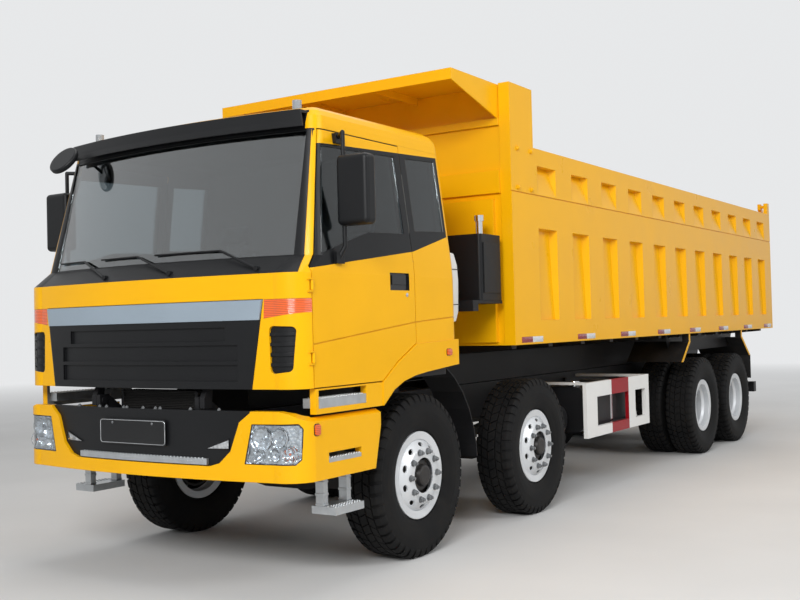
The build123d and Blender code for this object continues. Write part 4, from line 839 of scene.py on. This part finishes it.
def make_studs():
    for name, body, x, y, top in STEPS:
        studs = Piece(f"{name}_studs")
        across = int((x[1] - x[0]) / STUD_PITCH) + 1
        along = int((y[1] - y[0]) / STUD_PITCH) + 1
        for s in SIGNS:
            for i in range(across):
                for k in range(along):
                    spot = place(s * (x[1] - i * STUD_PITCH), y[0] + (k + 0.5 * (i % 2)) * STUD_PITCH, top)
                    add_stud(studs, STUD, spot, (0, 0, 1))
        studs.done(body)


# Collars round the legs of the hanging steps
HANG_X, HANG_Y, HANG_HALF = 1.060, (-0.9825, -0.7425), (0.034, 0.0265)
COLLARS = ((0.500, 0.512), (0.560, 0.578), (0.640, 0.652), (0.700, 0.722))


def make_collars():
    collars = Piece("hanging_step_collars")
    for s in SIGNS:
        for y in HANG_Y:
            for z0, z1 in COLLARS:
                collars.block(place(s * HANG_X - HANG_HALF[0], y - HANG_HALF[1], z0),
                              place(s * HANG_X + HANG_HALF[0], y + HANG_HALF[1], z1),
                              FINISH["step_steel"], bevel=0.004)
    collars.done("chassis")


# Studs on the top and the face of the bumper's bright strip
STRIP_STUDS, STRIP_AT_Z, STRIP_TOP_IN, STRIP_TOP_Z, STRIP_FACE_Z = 19, 0.810, 0.009, 0.823, 0.806


def make_strip_studs():
    strip = Piece("bumper_strip_studs")
    for k in range(-STRIP_STUDS, STRIP_STUDS + 1):
        x = k * STUD_PITCH
        front = on_insert(x, STRIP_AT_Z)
        add_stud(strip, STUD, (x, front.y + STRIP_TOP_IN, STRIP_TOP_Z), (0, 0, 1))
        add_stud(strip, FLAT_STUD, (x, front.y, STRIP_FACE_Z), (0, -1, 0))
    strip.done("chassis")


# Bright triangles beside the headlamps
FOG_X, FOG_Z = (0.560, 0.728), (0.882, 0.942)
FOG_SUNK, FOG_T, SEAL_OUT, FOG_SEAL_R = 0.002, 0.008, 0.007, 0.005
FOG_CORNERS = ((FOG_X[0], FOG_Z[0]), (FOG_X[1], FOG_Z[0]), (FOG_X[1], FOG_Z[1]))


def make_fog_lamps():
    lamps = Piece("fog_lamps")
    for s in SIGNS:
        rim = [on_insert(s * x, z) + Vector((0, FOG_SUNK, 0)) for x, z in FOG_CORNERS]
        lamps.prism(rim, (0, -FOG_T, 0), BOWL, bevel=0.002)
        lamps.tube([p + Vector((0, -SEAL_OUT, 0)) for p in rim], FOG_SEAL_R, GLOSS_BLACK,
                   sides=8, closed=True)
    lamps.done("chassis")


# Orange side markers on the bumper corners and the wheel arches
MARKERS = (
    # name, body, solid under it, y, z, half width, half height
    ("corner_markers", "chassis", "bumper", -1.246, 0.997, 0.024, 0.032),
    ("arch_markers", "cab", "cab_sides", 0.284, 1.399, 0.030, 0.022),
)
MARKER_LAYERS = (
    # size, thickness, finish
    (1.15, 0.004, GLOSS_BLACK),
    (1.0, 0.014, FINISH["lamp_orange"]),
)
MARKER_SUNK, MARKER_ROUND = 0.002, 0.6


def make_side_markers():
    for name, body, node, y, z, width, height in MARKERS:
        markers = Piece(name)
        for s in SIGNS:
            point, normal = on_side(node, s, y, z)
            along = Vector((0, 0, 1)).cross(normal).normalized()
            up = normal.cross(along)
            corners = rounded((-width, width), (-height, height), MARKER_ROUND * min(width, height))
            for size, thick, finish in MARKER_LAYERS:
                outline = [point - normal * MARKER_SUNK + size * (along * a + up * b) for a, b in corners]
                markers.prism(outline, normal * thick, finish, bevel=0.0015)
        markers.done(body)


# Mirror glass
MIRROR_X, MIRROR_Z = (1.268, 1.453), ((2.245, 2.375), (2.390, 2.615))
MIRROR_R, MIRROR_SUNK, MIRROR_T = 0.02, 0.001, 0.003
KERB_PLACE, KERB_FACING, KERB_R, KERB_OUT = (-0.960, -1.250, 2.820), (0, 0.8, -0.6), 0.098, 0.0195
KERB_GLASS = ((0, KERB_R), (0.002, KERB_R), (0.006, KERB_R * 0.7), (0.008, KERB_R * 0.3))


def make_mirror_faces():
    for side, s in SIDES:
        _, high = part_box(f"mirror_{side}")
        faces = Piece(f"mirror_glass_{side}")
        for z in MIRROR_Z:
            point, _ = hit(f"mirror_{side}", (s * sum(MIRROR_X) / 2, high.y + 1, sum(z) / 2), (0, -1, 0))
            x = sorted(s * e for e in MIRROR_X)
            outline = [(a, point.y - MIRROR_SUNK, b) for a, b in rounded(x, z, MIRROR_R)]
            faces.prism(outline, (0, MIRROR_T, 0), MIRROR_GLASS, bevel=0.0008)
        faces.done(f"{side}_door")
    kerb = Piece("kerb_mirror_glass")
    facing = Vector(KERB_FACING)
    kerb.lathe(KERB_GLASS, place(*KERB_PLACE) + facing * KERB_OUT, facing, MIRROR_GLASS, segments=40)
    kerb.done("cab")


# Straps round the fuel tank and the silencer, and the fuel tank's cap
TANKS = (
    # x range, corner radius, strap finish
    ((0.56, 1.12), 0.07, CHROME),
    ((-1.12, -0.56), 0.12, NUT_STEEL),
)
TANK_Z, TANK_STRAPS, STRAP_W, STRAP_T, STRAP_STEPS = (0.56, 0.98), (3.10, 3.54, 4.00), 0.05, 0.004, 8
FUEL_CAP_PLACE = (1.0, 2.985, 0.979)
FUEL_CAP = ((0, 0.055), (0.03, 0.055), (0.034, 0.048), (0.05, 0.045), (0.053, 0.03))


def make_tanks():
    tanks = Piece("tank_straps")
    half = STRAP_T / 2
    for x, radius, finish in TANKS:
        loop = rounded((x[0] - half, x[1] + half), (TANK_Z[0] - half, TANK_Z[1] + half), radius, STRAP_STEPS)
        for y in TANK_STRAPS:
            middle = place(sum(x) / 2, y, sum(TANK_Z) / 2)
            for a, b in zip(loop, loop[1:] + loop[:1]):
                quad = [place(c[0], y + w, c[1]) for c, w in ((a, 0), (b, 0), (b, STRAP_W), (a, STRAP_W))]
                out = (quad[1] - quad[0]).cross(quad[3] - quad[0]).normalized()
                if out.dot(quad[0] - middle) < 0:
                    out = -out
                tanks.prism([q - out * half for q in quad], out * STRAP_T, finish)
    tanks.lathe(FUEL_CAP, place(*FUEL_CAP_PLACE), (0, 0, 1), CHROME)
    tanks.done("chassis")


# Bottle in place of the header tank
BOTTLE_DEEPER = 0.075
BOTTLE_OUTLINE = (
    # y edge, y from it, z edge, z from it
    ("front", 0.001, "foot", 0.05), ("front", 0.03, "foot", 0.0), ("back", -0.05, "foot", 0.0),
    ("back", -0.01, "foot", 0.08), ("back", 0.0, "top", -0.22), ("back", -0.012, "top", -0.10),
    ("back", -0.06, "top", -0.01), ("front", 0.03, "top", 0.0), ("front", 0.001, "top", -0.03),
)
BOTTLE_CAP, CAP_IN, CAP_SUNK = (
    ((0, 0.03), (0.02, 0.03), (0.024, 0.036), (0.045, 0.036), (0.048, 0.028)), 0.07, 0.004)
BOTTLE_STRAPS, STRAP_R, STRAP_OUT = (1.74, 2.00), 0.003, 0.002


def make_bottle():
    bottle = Piece("header_tank_bottle")
    low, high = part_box("header_tank")
    edge = {"front": low.y, "back": high.y + BOTTLE_DEEPER, "foot": low.z, "top": high.z}
    outline = [(low.x, edge[side] + y, edge[end] + z) for side, y, end, z in BOTTLE_OUTLINE]
    bottle.prism(outline, (high.x - low.x, 0, 0), FINISH["tank_white"], bevel=0.016)
    bottle.lathe(BOTTLE_CAP, ((low.x + high.x) / 2, low.y + CAP_IN, high.z - CAP_SUNK), (0, 0, 1),
                 FINISH["tank_white"], segments=20)
    x0, x1 = low.x - STRAP_OUT, high.x + STRAP_OUT
    y0, y1 = low.y + STRAP_OUT, edge["back"] + STRAP_OUT
    for z in BOTTLE_STRAPS:
        bottle.tube([(x0, y0, z), (x0, y1, z), (x1, y1, z), (x1, y0, z)], STRAP_R, GLOSS_BLACK, sides=6)
    bottle.done("cab", "header_tank")


# Black sheets that close the gap over the rear mudguards as painted shade, with their nuts
MUD_X, MUD_Y, MUD_Z, MUD_T, MUD_LIP = 1.02, (5.46, 8.10), (1.20, 1.404), 0.004, 0.03
MUD_SLOPE, MUD_NUTS, MUD_NUT_IN, MUD_NUT_DOWN, MUD_NUT = 0.12, 8, 0.15, 0.03, (0.02, 0.010)


def make_shade_sheets():
    sheets = Piece("shade_sheets_over_mudguards")
    (y0, y1), (z0, z1) = MUD_Y, MUD_Z
    for s in SIGNS:
        x = s * MUD_X
        outline = [place(x, y, z)
                   for y, z in ((y0 + MUD_SLOPE, z0), (y1 - MUD_SLOPE, z0), (y1, z1), (y0, z1))]
        sheets.prism(outline, (-s * MUD_T, 0, 0), FINISH["black_paint"], bevel=0.001)
        lip = sorted((x, x - s * MUD_LIP))
        sheets.block(place(lip[0], y0, z1 - MUD_T), place(lip[1], y1, z1), FINISH["black_paint"], bevel=0.001)
        for k in range(MUD_NUTS):
            y = y0 + MUD_NUT_IN + (y1 - y0 - 2 * MUD_NUT_IN) * k / (MUD_NUTS - 1)
            sheets.nut(place(x, y, z1 - MUD_NUT_DOWN), (s, 0, 0), *MUD_NUT, NUT_STEEL)
    sheets.done("bed")


# Yellow flanges along the outer edges of the rear mudguards
GUARD_EDGES = (
    # top y and z, low y and z
    ((5.650, 1.325), (5.380, 1.102)),
    ((7.777, 1.325), (8.132, 1.073)),
)
GUARD_OUT, FLANGE_W, FLANGE_T = 1.247, 0.032, 0.006


def make_flanges():
    flanges = Piece("mudguard_flanges")
    for s in SIGNS:
        for (y0, z0), (y1, z1) in GUARD_EDGES:
            corners = ((y0 - FLANGE_W, z0), (y1 - FLANGE_W, z1), (y1, z1), (y0, z0))
            outline = [place(s * GUARD_OUT, y, z) for y, z in corners]
            flanges.prism(outline, (-s * FLANGE_T, 0, 0), FINISH["yellow_paint"], bevel=0.002)
    flanges.done("bed")


# Rear lamp lenses, bolts on the corner posts, door locks
REAR_LENSES = (
    # x range, finish
    ((0.835, 0.945), REFLECTOR_WHITE),
    ((0.950, 1.065), LAMP_RED),
    ((1.070, 1.185), FINISH["lamp_orange"]),
)
LENS_Z, LENS_R, LENS_SUNK, LENS_T = (0.590, 0.680), 0.012, 0.001, 0.012
POST_BOLTS, POST_BOLT = ((1.440, 3.000), (1.680, 3.000), (1.440, 2.684), (1.680, 2.684)), (0.034, 0.016)
LOCK_PLACE, LOCK = (-0.235, 1.80), ((0, 0.014), (0.004, 0.014), (0.005, 0.010))


def make_fittings():
    lamps = Piece("rear_lamp_lenses")
    _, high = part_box("rear_bar")
    for s in SIGNS:
        for x, finish in REAR_LENSES:
            corners = rounded(sorted(s * e for e in x), LENS_Z, LENS_R)
            lamps.prism([(a, high.y - LENS_SUNK, b) for a, b in corners], (0, LENS_T, 0), finish, bevel=0.003)
    lamps.done("chassis")
    bolts = Piece("corner_post_bolts")
    for s in SIGNS:
        for y, z in POST_BOLTS:
            point, normal = on_side("bed_sides", s, y, z)
            bolts.nut(point, normal, *POST_BOLT, FINISH["yellow_paint"])
    bolts.done("bed")
    for side, s in SIDES:
        lock = Piece(f"door_lock_{side}")
        point, normal = on_side(f"door_{side}", s, *LOCK_PLACE)
        lock.lathe(LOCK, point, normal, CHROME, segments=20)
        lock.done(f"{side}_door")


make_headlamps()
make_plate()
make_radiator()
make_strips()
make_studs()
make_collars()
make_strip_studs()
make_fog_lamps()
make_side_markers()
make_mirror_faces()
make_tanks()
make_bottle()
make_shade_sheets()
make_flanges()
make_fittings()


# Seats: stuffed cushions, swollen as cloth under pressure, on a moulded base
SEAT_X = 0.60
PAD_EDGE, PAD_VOXEL, PAD_PRESSURE, PAD_FRAMES = 0.028, 0.012, 4.0, 20
CHANNEL_DEEP, CHANNEL_WIDE = 0.007, 0.010
PADS = (
    # name, size, centre y and z, lean in degrees, most swelling, channels across the local x
    ("seat_cushion", (0.48, 0.50, 0.13), (-0.250, 1.612), 0.0, 0.018, (-0.15, 0.15)),
    ("seat_back", (0.44, 0.52, 0.085), (0.058, 1.960), 79.0, 0.016, (-0.14, 0.14)),
    ("seat_head", (0.27, 0.15, 0.07), (0.128, 2.335), 79.0, 0.012, ()),
)


def swell(obj, most):
    """Cloth under inner pressure, with no point moved further than the given length."""
    start = [v.co.copy() for v in obj.data.vertices]
    cloth = obj.modifiers.new("cloth", "CLOTH")
    cloth.settings.use_pressure = True
    cloth.settings.uniform_pressure_force = PAD_PRESSURE
    cloth.settings.effector_weights.gravity = 0.0
    for step in range(1, PAD_FRAMES + 1):
        bpy.context.scene.frame_set(step)
    mesh = shown_mesh(obj)
    obj.modifiers.remove(cloth)
    bpy.context.scene.frame_set(1)
    for vertex, was in zip(mesh.vertices, start):
        move = vertex.co - was
        if move.length > most:
            vertex.co = was + move.normalized() * most
    obj.data = mesh


def make_pads():
    made = []
    for name, size, (y, z), lean, most, channels in PADS:
        bm = bmesh.new()
        bmesh.ops.create_cube(bm, size=1.0)
        bmesh.ops.scale(bm, vec=size, verts=bm.verts)
        bmesh.ops.bevel(bm, geom=bm.edges[:], offset=PAD_EDGE, segments=3, profile=0.5, affect="EDGES")
        mesh = bpy.data.meshes.new(name)
        bm.to_mesh(mesh)
        bm.free()
        obj = show(f"{name}_left", mesh)
        remesh = obj.modifiers.new("remesh", "REMESH")
        remesh.mode, remesh.voxel_size = "VOXEL", PAD_VOXEL
        obj.data = shown_mesh(obj)
        obj.modifiers.remove(remesh)
        swell(obj, most)
        turn = Matrix.Translation(place(SEAT_X, y, z)) @ Matrix.Rotation(math.radians(lean), 4, "X")
        for vertex in obj.data.vertices:
            for line in channels:
                away = (vertex.co.x - line) / CHANNEL_WIDE
                vertex.co.z -= math.copysign(CHANNEL_DEEP * math.exp(-away * away), vertex.co.z)
        obj.data.transform(turn)
        obj.data.materials.append(FINISH["seat_cloth"])
        obj.data.shade_smooth()
        obj.modifiers.new("smooth", "SUBSURF").render_levels = 1
        twin = obj.copy()
        twin.name = f"{name}_right"
        twin.location.x = -2 * SEAT_X
        bpy.context.scene.collection.objects.link(twin)
        made += [obj, twin]
    for obj in made:
        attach(obj, "cab")
        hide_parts("seats")


# Seat frames: rubber bellows, pan, shell of the back and posts of the head rest
BELLOWS, BELLOWS_Z, BELLOWS_TALL, BELLOWS_IN = 5, 1.292, 0.042, 0.012
BELLOWS_X, BELLOWS_Y = 0.17, (-0.41, -0.05)
PAN_X, PAN_Y, PAN_Z = 0.25, (-0.505, 0.005), (1.502, 1.550)
SHELL_X, SHELL = 0.21, ((0.105, 1.690), (0.125, 1.690), (0.185, 2.180), (0.168, 2.210), (0.160, 2.180))
POSTS, POST_ENDS, POST_R = (-0.07, 0.07), ((0.105, 2.20), (0.128, 2.30)), 0.007


def make_seat_frames():
    frames = Piece("seat_frames")
    plastic = FINISH["dash_plastic"]
    for s in SIGNS:
        x = s * SEAT_X
        for k in range(BELLOWS):
            z, inset = BELLOWS_Z + k * BELLOWS_TALL, BELLOWS_IN * (k % 2)
            frames.block(place(x - BELLOWS_X + inset, BELLOWS_Y[0] + inset, z),
                         place(x + BELLOWS_X - inset, BELLOWS_Y[1] - inset, z + BELLOWS_TALL),
                         RUBBER_AND_GUARD_SHADE, bevel=0.006)
        frames.block(place(x - PAN_X, PAN_Y[0], PAN_Z[0]), place(x + PAN_X, PAN_Y[1], PAN_Z[1]),
                     plastic, bevel=0.012)
        frames.prism([place(x - SHELL_X, y, z) for y, z in SHELL], (2 * SHELL_X, 0, 0), plastic, bevel=0.006)
        for post in POSTS:
            frames.tube([place(x + post, y, z) for y, z in POST_ENDS], POST_R, CHROME)
    frames.done("cab", "seats")


make_pads()
make_seat_frames()


# Stage, light and camera
def make_floor():
    bpy.ops.mesh.primitive_plane_add(size=FLOOR_SIZE)
    floor = bpy.context.object
    floor.name = "floor"
    s = Shader("floor")
    s.set(Roughness=0.9)
    s.link(s.ramp(s.noise(FLOOR_PATCH, FLOOR_DETAIL), *FLOOR_TONES), "Base Color")
    length = s.add("VectorMath", {0: s.coords}, operation="LENGTH").outputs["Value"]
    seen = s.add("LightPath", {}).outputs["Is Camera Ray"]
    far = s.math("MULTIPLY", s.spread(length, 0.0, 1.0, FADE_START, FADE_END), seen)
    glow = s.add("Emission", {"Color": BACKDROP + (1,)})
    mixed = s.add("MixShader", {0: far, 1: s.main.outputs[0], 2: glow.outputs[0]})
    s.tree.links.new(mixed.outputs[0], s.tree.nodes["Material Output"].inputs["Surface"])
    floor.data.materials.append(s.material)


def make_world():
    world = bpy.data.worlds.new("studio")
    bpy.context.scene.world = world
    world.use_nodes = True
    tree = world.node_tree
    path = add_node(tree, "LightPath", {}).outputs
    seen = path["Is Camera Ray"]
    for ray in ("Is Glossy Ray", "Is Transmission Ray"):
        seen = add_node(tree, "Math", {0: seen, 1: path[ray]}, operation="MAXIMUM").outputs["Value"]
    level = add_node(tree, "MapRange", {"To Min": WORLD_LIGHT, "To Max": 1.0, "Value": seen})
    back = tree.nodes["Background"]
    back.inputs["Color"].default_value = BACKDROP + (1,)
    tree.links.new(level.outputs["Result"], back.inputs["Strength"])


LAMPS = (
    # name, place, aimed at, width, height, watts
    ("key", (6.0, -16.5, 8.0), (0.0, -3.0, 1.6), 6.0, 4.0, 1600.0),
    ("side", (15.0, -2.0, 9.5), (0.0, 0.5, 1.6), 10.0, 6.0, 860.0),
    ("top", (0.0, 0.0, 13.0), (0.0, 0.0, 0.0), 8.0, 12.0, 480.0),
    ("back", (-5.0, 15.0, 8.0), (0.0, 3.0, 1.5), 8.0, 5.0, 320.0),
)


def make_lamps():
    for name, spot, aim, width, height, watts in LAMPS:
        data = bpy.data.lights.new(name, "AREA")
        data.shape, data.size, data.size_y, data.energy = "RECTANGLE", width, height, watts
        lamp = show(name, data)
        lamp.location = spot
        lamp.rotation_euler = (Vector(aim) - Vector(spot)).to_track_quat("-Z", "Y").to_euler()


def make_camera():
    data = bpy.data.cameras.new("camera")
    data.lens, data.sensor_width, data.sensor_fit = CAMERA_LENS, SENSOR, "HORIZONTAL"
    camera = show("camera", data)
    turn = (Matrix.Rotation(math.radians(CAMERA_HEADING), 4, "Z")
            @ Matrix.Rotation(math.radians(90 + CAMERA_PITCH), 4, "X")
            @ Matrix.Rotation(math.radians(CAMERA_ROLL), 4, "Z"))
    camera.matrix_world = Matrix.Translation(CAMERA_PLACE) @ turn
    bpy.context.scene.camera = camera


make_floor()
make_world()
make_lamps()
make_camera()
bpy.context.scene.view_settings.view_transform = "Standard"
